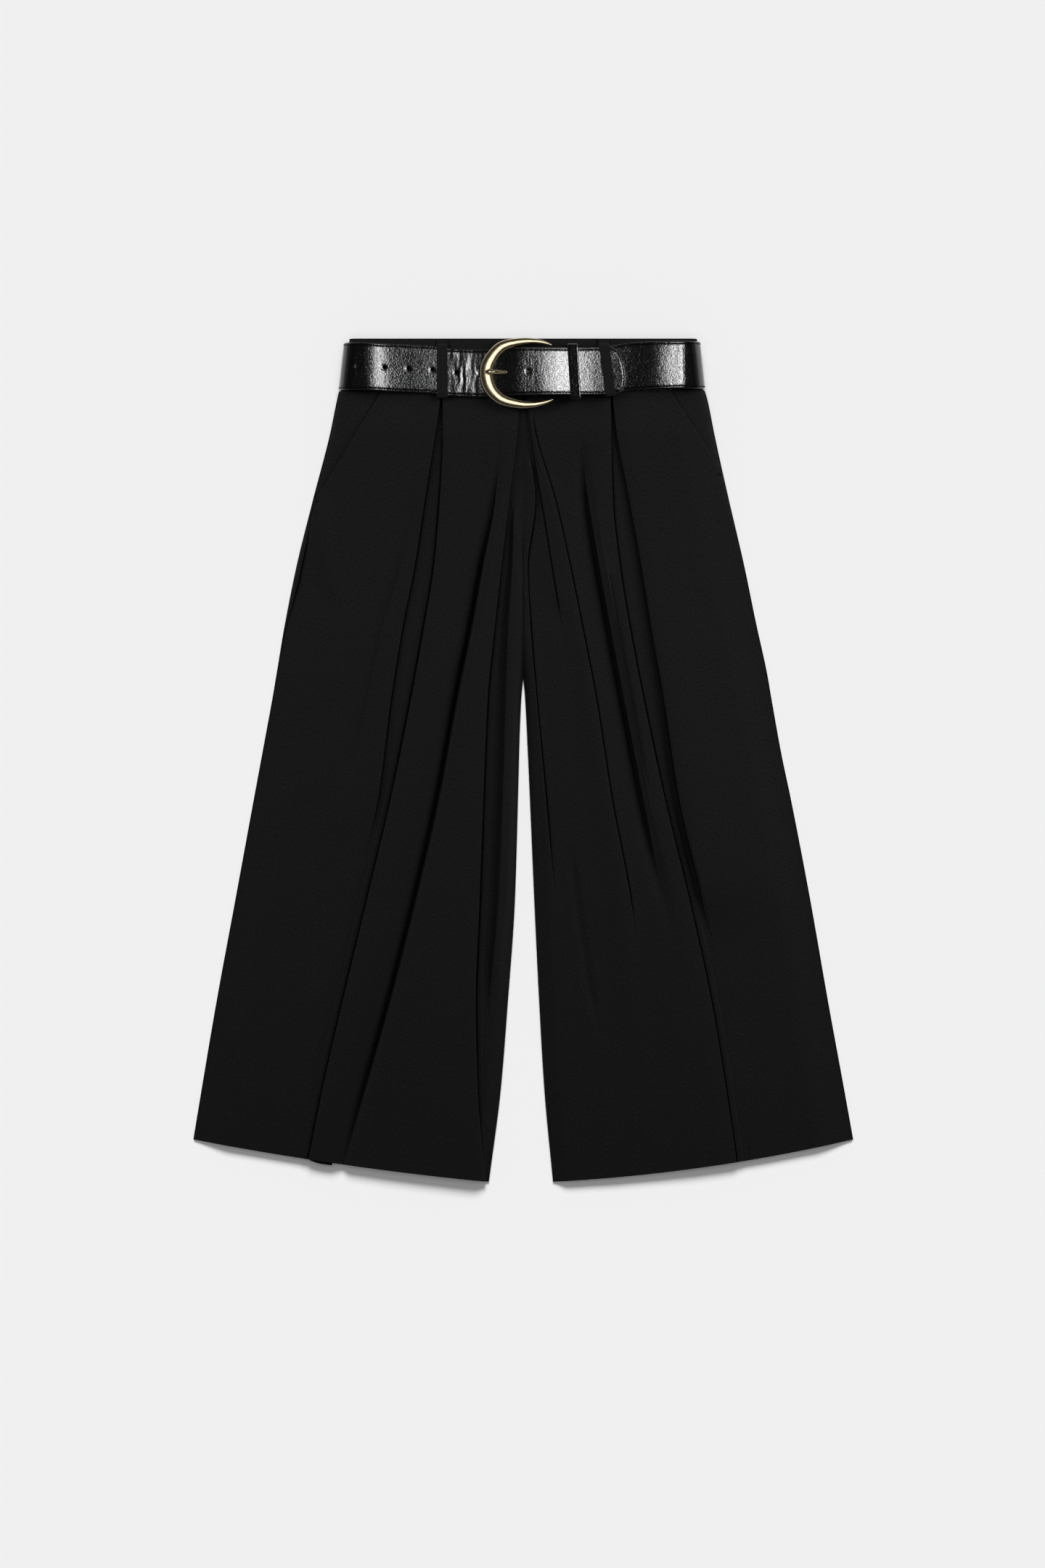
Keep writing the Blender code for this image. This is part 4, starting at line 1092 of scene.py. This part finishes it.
def punchedStrap(route):
    plain, slotted = bmesh.new(), bmesh.new()
    box = bmesh.ops.create_cube(slotted, size=1.0)["verts"]
    bmesh.ops.scale(slotted, vec=Vector(holes["slotSize"]) * mm, verts=box)
    bmesh.ops.translate(slotted, verts=box, vec=at(belt["barX"], holes["slotDown"], holes["slotZ"]))
    for k in range(holes["count"]):
        x = holes["first"] + holes["pitch"] * k
        if k == holes["prong"]:
            punch(slotted, holes["worn"], at(x + holes["wornShift"], belt["prongDown"], freeZ(x)))
        else:
            punch(plain, holes["plain"], at(x, belt["freeMid"](x), freeZ(x) + holes["plainUp"]))
    cutters = [placed(name, fromBmesh(bm, name))
               for name, bm in (("punch", plain), ("slot", slotted))]

    def cut(draft):
        for cutter in cutters:
            boolean = draft.modifiers.new("cut", "BOOLEAN")
            boolean.object = cutter
            boolean.solver = "EXACT"
    mesh = baked(solidLoft(strapRings(route)), cut)
    for cutter in cutters:
        bpy.data.objects.remove(cutter, do_unlink=True)
    return mesh


route = strapRoute()
strapMesh = punchedStrap(route)
settle(keep(strapMesh, "beltStrap", blackLeather, 0.7), "leather", "belt_strap")
print("belt strap", len(strapMesh.polygons))


# stitches, along any path
def stitchTree():
    tree = bpy.data.node_groups.new("stitches", "GeometryNodeTree")
    for label, way, kind in (("Geometry", "INPUT", "Geometry"), ("Pitch", "INPUT", "Float"),
                             ("Length", "INPUT", "Float"), ("Thickness", "INPUT", "Float"),
                             ("Geometry", "OUTPUT", "Geometry")):
        tree.interface.new_socket(label, in_out=way, socket_type="NodeSocket" + kind)
    given = tree.nodes.new("NodeGroupInput").outputs
    line = addNode(tree, "GeometryNodeMeshToCurve", "Curve", Mesh=given["Geometry"])
    spots = addNode(tree, "GeometryNodeResampleCurve", "Curve", mode="LENGTH", Curve=line,
                    Length=given["Pitch"])
    along = addNode(tree, "GeometryNodeInputTangent", "Tangent")
    turned = addNode(tree, "FunctionNodeAlignRotationToVector", "Rotation", axis="Z", Vector=along)
    bead = addNode(tree, "GeometryNodeMeshUVSphere", "Mesh", Segments=8, Rings=5, Radius=0.5)
    size = addNode(tree, "CombineXYZ", "Vector", given["Thickness"],
                   given["Thickness"], given["Length"])
    beads = addNode(tree, "GeometryNodeInstanceOnPoints", "Instances", Points=spots,
                    Instance=bead, Rotation=turned, Scale=size)
    real = addNode(tree, "GeometryNodeRealizeInstances", "Geometry", Geometry=beads)
    fill(tree.nodes.new("NodeGroupOutput"), real)
    return tree


stitches = stitchTree()


def sewn(name, paths, slotName, thread, sizes):
    # sizes are the stitches' pitch, length and thickness
    points, edges = [], []
    for path in paths:
        base = len(points)
        points += path
        edges += [(base + i, base + i + 1) for i in range(len(path) - 1)]
    mesh = bpy.data.meshes.new(name)
    mesh.from_pydata(points, edges, [])

    def rows(draft):
        sewing = draft.modifiers.new("sewing", "NODES")
        sewing.node_group = stitches
        inputs = [item.identifier for item in stitches.interface.items_tree
                  if item.in_out == "INPUT" and item.name != "Geometry"]
        for label, size in zip(inputs, sizes):
            sewing[label] = size * mm
    made = keep(baked(mesh, rows), name, thread)
    print(name, len(made.data.polygons))
    return settle(made, slotName)


def strapLine(offset, start, end):
    # a line on the strap's outer face, sunk a little more where the strap lies on the floor
    return [strapPoint(route, i, offset,
                       strapOut - belt["sewnInBelow" if route[i][1] < lie["strap"] else "sewnIn"],
                       i > len(route) // 2) for i in range(start, end)]


lastStraight = next(i for i, row in enumerate(route) if row[3] < strapHalf - 0.01)
rowOffset = strapHalf - belt["stitchInset"]
tipPath = []
for angle in map(radians, range(-90, 91, 6)):
    x = tipStart + (belt["tipLength"] - belt["stitchInset"]) * cos(angle)
    offset = rowOffset * sin(angle)
    mid = belt["freeMid"](x)
    tipPath.append(at(waistX(x + leanAt(x, offset, True), mid + offset, mid), mid + offset,
                      freeZ(x) + strapOut - belt["sewnInTip"]))
sewn("beltStitching", [strapLine(rowOffset, 2, lastStraight),
                       strapLine(-rowOffset, 2, lastStraight), tipPath],
     "leather", blackThread, belt["sewing"])

# bar tacks at the pockets' lower ends
tack = {"below": 2.4, "long": 3.4, "inset": 0.4, "high": 0.05, "sewing": (0.55, 0.9, 1.7)}


def tackPath(leg):
    down = leg["pocket"]["end"][1] + tack["below"]
    start = sideSeam(leg, down) - leg["sign"] * tack["inset"]
    path = []
    for k in range(11):
        across = start - leg["sign"] * tack["long"] * k / 10
        high = frontBase(leg, across, down) + reliefAt(leg, across, down)
        path.append(at(across, down, high + lie["cloth"] / 2 + tack["high"]))
    return path


tacks = sewn("pocketTacks", [tackPath(rightLeg), tackPath(leftLeg)], "cloth", clothThread,
             tack["sewing"])

# the buckle's frame runs through rows of (across, down, width, z), its prong through rows of
# (across, above the bar, half width, half height)
buckle = {
    "rows": ((29.25, 6.9, 1.3, 25.6), (19.5, 3.9, 4.0, 25.8), (7.0, 2.9, 6.2, 26.0),
             (-7.5, 4.2, 8.0, 26.9), (-22.5, 8.8, 10.5, 27.3), (-33.0, 19.9, 12.4, 27.1),
             (-38.25, 33.0, 13.4, 27.1), (-35.0, 49.8, 12.7, 27.1), (-23.4, 62.4, 10.9, 27.3),
             (-6.0, 67.6, 8.8, 26.9), (9.0, 68.3, 6.6, 26.0), (21.75, 66.2, 4.0, 25.8),
             (30.7, 63.1, 1.3, 25.6)),
    "sides": 28, "steps": 10, "flatness": 0.42, "thin": 1.2, "barEnds": (3.2, 68.0),
    "least": 0.5, "barThin": 0.7, "barStep": 1.5, "barFades": (0.5, 2.5), "eyeRadius": 2.9,
    "eyeRod": 1.05, "eyeFrom": -155, "eyeTo": 90, "eyeSteps": 30, "prongSides": 20,
    "prongSteps": 5, "domeHigh": 0.6, "dome": (30, 55, 75, 86),
    "prong": ((5.0, 2.0, 1.4, 1.2), (-3.0, 0.1, 1.6, 1.3), (-8.0, -1.1, 1.6, 1.3),
              (-14.0, -1.3, 1.7, 1.3), (-19.0, -0.5, 2.0, 1.4), (-23.5, 2.1, 2.2, 1.5),
              (-28.0, 4.5, 2.3, 1.6), (-32.0, 5.5, 2.3, 1.6), (-33.2, 5.65, 3.3, 1.8),
              (-34.3, 5.7, 3.0, 1.7), (-35.4, 5.7, 3.3, 1.8), (-36.6, 5.7, 2.6, 1.5),
              (-38.4, 5.6, 1.8, 1.2)),
    "dark": (0.80, 0.64, 0.40), "light": (0.90, 0.76, 0.52), "roughness": (0.14, 0.28),
    # the bar's near-black colour below is painted shade: the bar is set dark as if it lay in
    # shadow, in place of gold
    "barPaintedShade": (0.012, 0.010, 0.007), "wearSpread": (0.3, 0.7),
    # the frame's section: how full its sides and its underside are, and how deep it is below
    "full": (0.9, 0.6), "deepBelow": 0.85,
}


def goldFinish(name, look):
    made, shader = newMaterial(name, look["light"], 0.2, Metallic=1.0)
    tree = made.node_tree
    place = addNode(tree, "TexCoord", "Object")
    wear = addNode(tree, "TexNoise", "Fac", place, Scale=320.0, Detail=5.0, Roughness=0.7)
    roughness = addNode(tree, "MapRange", "Result", wear, *look["wearSpread"], *look["roughness"])
    tint = addNode(tree, "Mix", "Result", data_type="RGBA", Factor=wear,
                   A=(*look["dark"], 1), B=(*look["light"], 1))
    bump = addNode(tree, "Bump", "Normal", Strength=0.08, Distance=0.0003, Height=wear)
    fill(shader, Base_Color=tint, Roughness=roughness, Normal=bump)
    return made


paleGold = goldFinish("paleGold", buckle)
# the bar's finish: a near-black, matte stand-in for the gold that paints the shade the bar would
# lie in
shadedGold, _ = newMaterial("shadedGold", buckle["barPaintedShade"], 0.6, Specular_IOR_Level=0.1)


def catmull(rows, steps):
    # a smooth path that swings through all its rows
    made = []
    for i in range(len(rows) - 1):
        near = (rows[max(i - 1, 0)], rows[i], rows[i + 1], rows[min(i + 2, len(rows) - 1)])
        for k in range(steps):
            t = k / steps
            made.append([0.5 * (2 * b + (c - a) * t + (2 * a - 5 * b + 4 * c - d) * t * t
                                + (3 * b - a - 3 * c + d) * t ** 3)
                         for a, b, c, d in zip(*near)])
    made.append(list(rows[-1]))
    return made


def frameRings():
    path = catmull(buckle["rows"], buckle["steps"])
    (fullSide, fullBelow), deep = buckle["full"], buckle["deepBelow"]
    rings = []
    for i, (across, down, width, z) in enumerate(path):
        along, lower = heading(path, i)
        width = max(width, buckle["least"])
        high = max(buckle["thin"], buckle["flatness"] * width) / 2
        ring = []
        for k in range(buckle["sides"]):
            angle = 2 * pi * k / buckle["sides"]
            c, s = cos(angle), sin(angle)
            out = width / 2 * copysign(abs(c) ** fullSide, c)
            up = high * (s if s > 0 else copysign(abs(s) ** fullBelow, s) * deep)
            ring.append(at(across - lower * out, down + along * out, z + up))
        rings.append(ring)
    return rings


def prongRings():
    # round the bar in an eye, then along to the point
    down, eye, rod = belt["prongDown"], buckle["eyeRadius"], buckle["eyeRod"]
    path = []
    for k in range(buckle["eyeSteps"] + 1):
        angle = radians(mix(buckle["eyeFrom"], buckle["eyeTo"], k / buckle["eyeSteps"]))
        path.append((belt["barX"] + eye * cos(angle), barZ + eye * sin(angle), rod, rod))
    columns = [curveThrough(list(enumerate(column))) for column in zip(*buckle["prong"])]
    steps = buckle["prongSteps"]
    for k in range(steps * (len(buckle["prong"]) - 1) + 1):
        across, above, wide, high = [column(k / steps) for column in columns]
        path.append((across, barZ + above, wide, high))
    rings = []
    for i, (x, z, halfWide, halfHigh) in enumerate(path):
        along, rise = heading(path, i)
        ring = []
        for k in range(buckle["prongSides"]):
            angle = 2 * pi * k / buckle["prongSides"]
            up = halfHigh * sin(angle)
            ring.append(at(x - rise * up, down + halfWide * cos(angle), z + along * up))
        rings.append(ring)
    return rings


def withRoundEnds(rings):
    # closes each end over a small dome
    made = list(rings)
    for index, inward in ((0, 1), (-1, -2)):
        ring = rings[index]
        middle = sum(ring, Vector()) / len(ring)
        other = sum(rings[inward], Vector()) / len(ring)
        reach = (ring[0] - middle).length
        outward = (middle - other).normalized()
        caps = [[middle + (p - middle) * cos(radians(a))
                 + outward * reach * buckle["domeHigh"] * sin(radians(a)) for p in ring]
                for a in buckle["dome"]]
        made = list(reversed(caps)) + made if index == 0 else made + caps
    return made


def barRings():
    # a bar that is thinner where it leaves the strap
    rings = []
    past, over = buckle["barFades"]
    for down in spaced(*buckle["barEnds"], buckle["barStep"]):
        inStrap = ease((strapHalf + past - abs(down - belt["buckleDown"])) / over)
        size = mix(buckle["barThin"], belt["barRadius"], inStrap)
        rings.append([at(belt["barX"] + size * cos(radians(a)), down,
                         barZ + size * sin(radians(a))) for a in range(0, 360, 15)])
    return rings


frameMesh = solidLoft(withRoundEnds(frameRings()))
bm = bmesh.new()
for mesh in (frameMesh, solidLoft(barRings())):
    bm.from_mesh(mesh)
framePiece = keep(fromBmesh(bm, "joined"), "buckleFrame", paleGold, 1.0)
# the bar's faces take the near-black painted-shade finish instead of gold
framePiece.data.materials.append(shadedGold)
for face in framePiece.data.polygons[len(frameMesh.polygons):]:
    face.material_index = 1
settle(framePiece, "gold", "buckle_frame")
settle(keep(solidLoft(withRoundEnds(prongRings())), "buckleProng", paleGold, 1.0), "gold",
       "buckle_prong")
print("buckle")

# belt loops and keeper
loopCut = {
    "wall": 1.1, "width": 11.0, "low": 20.9, "columns": 9, "clear": (0.25, 0.5),
    # the bends as (down, height): on the waistband above the strap, up to the strap's face,
    # over it by shares of its width, and down past its lower edge
    "foot": ((-5.5, 0.0), (-1.6, 0.0), (-0.1, 0.7)), "rise": ((0.0, -1.0), (1.2, 0.0)),
    "over": (0.35, 0.65), "fall": ((-1.6, 0.0), (-0.1, -1.1)), "tuck": 0.1,
}
bandEdge = {"crowding": 0.6, "rim": 0.1, "thin": 0.35}
keeperCut = {"wall": 1.4, "width": 10.8, "top": 6.4, "bottom": 62.6, "corner": 1.6,
             "topX": 50.9, "bottomX": 54.3, "clear": 0.1, "cornerSteps": 6, "step": 3,
             "columns": 11, "sewnAt": 3.2, "sewnIn": 0.05, "sewing": (3.0, 2.2, 1.0)}


def rounded(path, steps=5, reach=0.42):
    # a path with its corners rounded; rows hold (x, down, z)
    made = [path[0]]
    for before, corner, after in zip(path, path[1:], path[2:]):
        a = [mix(c, b, reach) for c, b in zip(corner, before)]
        b = [mix(c, d, reach) for c, d in zip(corner, after)]
        for k in range(steps + 1):
            t = k / steps
            made.append([mix(mix(p, c, t), mix(c, q, t), t) for p, c, q in zip(a, corner, b)])
    made.append(path[-1])
    return made


def bandSection(rows, width, wall, columns, closed=False):
    # rings across a band that runs in the down-z plane
    rings = []
    for i, (x, down, z) in enumerate(rows):
        lower, up = heading(rows, i, 1, 2, closed)
        ring = []
        for side in (1, -1):
            for k in range(columns):
                u = 2 * k / (columns - 1) - 1
                u = copysign(abs(u) ** bandEdge["crowding"], u) * side
                inRim = clamp((abs(u) - 1 + bandEdge["rim"]) / bandEdge["rim"])
                high = wall / 2 * mix(bandEdge["thin"], 1.0, sqrt(1 - inRim ** 2)) * side
                ring.append(at(x + width / 2 * u, down - up * high, z + lower * high))
        rings.append(ring)
    return rings


def beltLoop(name, xTop, xBottom, topZ, strapTop, strapBottom, node):
    cut, (clearTop, clearBottom) = loopCut, loopCut["clear"]
    clear = gap + cut["wall"] / 2
    over, band = topZ + clear, bandZ + lie["bandWall"] / 2 + clear
    start, end = strapTop - clear - clearTop, strapBottom + clear + clearBottom
    path = [(start + down, band + high) for down, high in cut["foot"]]
    path += [(start + down, over + high) for down, high in cut["rise"]]
    path += [(mix(start, end, share), over) for share in cut["over"]]
    path += [(end + down, over + high) for down, high in cut["fall"]]
    path.append((end + cut["tuck"], cut["low"]))
    first, last = path[0][0], path[-1][0]
    rows = [(mix(xTop, xBottom, (d - first) / (last - first)), d, z) for d, z in path]
    mesh = solidLoft(bandSection(rounded(rows), cut["width"], cut["wall"], cut["columns"]))
    layWeave(mesh, lambda i: mesh.vertices[i].co.xy)
    pieces[name] = settle(keep(mesh, name, blackCloth, 1.0), "cloth", node)
    wide, long = cut["width"] * mm, sum(dist(a, b) for a, b in zip(rows, rows[1:])) * mm
    cuts[name] = (wide, long, wide * long)


beltLoop("beltLoopRight", -83.7, -83.7, lie["loopHeight"], 8.0, 60.2, "belt_loop_right")
beltLoop("beltLoopLeft", 82.8, 90.4, lie["loopHeight"] + strapLayer, 7.3, 58.4, "belt_loop_left")


def keeperPath():
    cut = keeperCut
    low = bandZ + lie["bandWall"] / 2 + gap + cut["wall"] / 2
    high = strapZ + 2 * strapLayer + strapOut + gap + cut["wall"] / 2 + cut["clear"]
    top, bottom, r, steps = cut["top"], cut["bottom"], cut["corner"], cut["cornerSteps"]
    path = []
    for down, z, start in ((bottom - r, high - r, 90), (bottom - r, low + r, 0),
                           (top + r, low + r, -90), (top + r, high - r, -180)):
        for k in range(steps + 1):
            angle = radians(start - 90 * k / steps)
            path.append((down + r * cos(angle), z + r * sin(angle)))
    lean = cut["bottomX"] - cut["topX"]
    rows = []
    for (d0, z0), (d1, z1) in zip(path, path[1:] + path[:1]):
        count = max(1, round(dist((d0, z0), (d1, z1)) / cut["step"]))
        for k in range(count):
            down, z = mix(d0, d1, k / count), mix(z0, z1, k / count)
            rows.append((cut["topX"] + lean * (down - top) / (bottom - top), down, z))
    return rows


keeperRows = keeperPath()
keeperRings = bandSection(keeperRows, keeperCut["width"], keeperCut["wall"],
                          keeperCut["columns"], closed=True)
settle(keep(solidLoft(keeperRings, closed=True), "beltKeeper", keeperLeather, 1.0), "leather",
       "belt_keeper")


def keeperLine(offset):
    top = [row for row in keeperRows if row[2] > strapZ + strapLayer]
    top.sort(key=lambda row: row[1])
    return [at(x + offset, d, z + keeperCut["wall"] / 2 - keeperCut["sewnIn"]) for x, d, z in top]


sewn("keeperStitching", [keeperLine(-keeperCut["sewnAt"]), keeperLine(keeperCut["sewnAt"])],
     "leather", blackThread, keeperCut["sewing"])
print("loops and keeper")

# floor, lamps and camera; radiances, places in metres, angles in degrees
studio = {
    "floor": (0.86, 0.86, 0.86), "floorHalf": 6, "walls": 0.2, "ceiling": 0.03,
    "wallsEnd": 0.20, "ceilingStart": 0.70,
    "panels": {"keyPanel": (15.0, 1), "fillPanel": (11.2, -1)}, "panelWay": (0.8, 0.18, 0.42),
    "panelAway": 2.4, "panelAim": (0, 0.6, 0), "panelSize": (1.35, 1.35),
    "overhead": (17.0, (0.70, 0.62, 4.0), (0.95, 0.82)),
    "gilt": (2.0, (0.62, 0.55, 3.0), (1.7, 1.1)),
    "suns": {"lowLight": (3.55, 24, (0, -1, -0.8)), "paperGlow": (0.75, 60, (0, 0, -1))},
    "lens": 200.0, "sensor": 36.0, "pixel": 0.75, "pixelsHigh": 2160,
    "aim": (-0.75, 459.75, 10.0),
}
half = studio["floorHalf"]
floorMesh = bpy.data.meshes.new("floor")
floorMesh.from_pydata([(-half, -half, 0), (half, -half, 0), (half, half, 0), (-half, half, 0)],
                      [], [(0, 1, 2, 3)])
floor = placed("floor", floorMesh)
paper, _ = newMaterial("paleFloor", studio["floor"], 0.9)
floorMesh.materials.append(paper)

# pale walls round a dark ceiling, by the height of the direction
world = bpy.data.worlds.new("studio")
bpy.context.scene.world = world
world.use_nodes = True
sky = world.node_tree
upwards = addNode(sky, "SeparateXYZ", "Z", addNode(sky, "TexCoord", "Generated"))
fade = addNode(sky, "MapRange", "Result", upwards, studio["wallsEnd"],
               studio["ceilingStart"], studio["walls"], studio["ceiling"],
               interpolation_type="SMOOTHSTEP")
fill(sky.nodes["Background"], Color=(1, 1, 1, 1), Strength=fade)


def lit(name, objects):
    group = bpy.data.collections.new(name)
    bpy.context.scene.collection.children.link(group)
    for one in objects:
        group.objects.link(one)
    return group


def aimed(data, spot, towards, lights):
    # a lamp that lights only the objects of one collection, though all of them cast its shadows
    lamp = placed(data.name, data)
    lamp.location = spot
    lamp.rotation_mode = "QUATERNION"
    lamp.rotation_quaternion = Vector(towards).to_track_quat("-Z", "Y")
    lamp.visible_camera = False
    lamp.light_linking.receiver_collection = lights


def softbox(name, radiance, spot, size, towards, lights):
    data = bpy.data.lights.new(name, "AREA")
    data.shape = "RECTANGLE"
    data.size, data.size_y = size
    data.energy = radiance * pi * size[0] * size[1]
    aimed(data, spot, towards, lights)


paperOnly = lit("paper", [floor])
cloth = [*pieces.values(), tacks]
garment = lit("garment", cloth)
hard = [one for one in bpy.data.objects
        if one.type == "MESH" and one is not floor and one not in cloth]
gilt = lit("gilt", [one for one in hard if one.name.startswith("buckle")])
shiny = lit("shiny", [one for one in hard if not one.name.startswith("buckle")])
for name, (energy, angle, towards) in studio["suns"].items():
    sun = bpy.data.lights.new(name, "SUN")
    sun.energy, sun.angle = energy, radians(angle)
    aimed(sun, (0, 0, 3), towards, paperOnly)
softbox("overheadPanel", *studio["overhead"], (0, 0, -1), shiny)
softbox("giltPanel", *studio["gilt"], (0, 0, -1), gilt)
sideways, *onwards = studio["panelWay"]
for name, (radiance, side) in studio["panels"].items():
    way = Vector((side * sideways, *onwards)).normalized() * studio["panelAway"]
    softbox(name, radiance, Vector(studio["panelAim"]) + way, studio["panelSize"], -way, garment)
bpy.context.scene.view_settings.view_transform = "Standard"

camera = bpy.data.cameras.new("camera")
camera.lens = studio["lens"]
camera.sensor_width = studio["sensor"]
camera.clip_end = 100.0
cameraObject = placed("camera", camera)
distance = studio["pixelsHigh"] * studio["pixel"] * mm * studio["lens"] / studio["sensor"]
cameraObject.location = at(*studio["aim"]) + Vector((0, 0, distance))
bpy.context.scene.camera = cameraObject
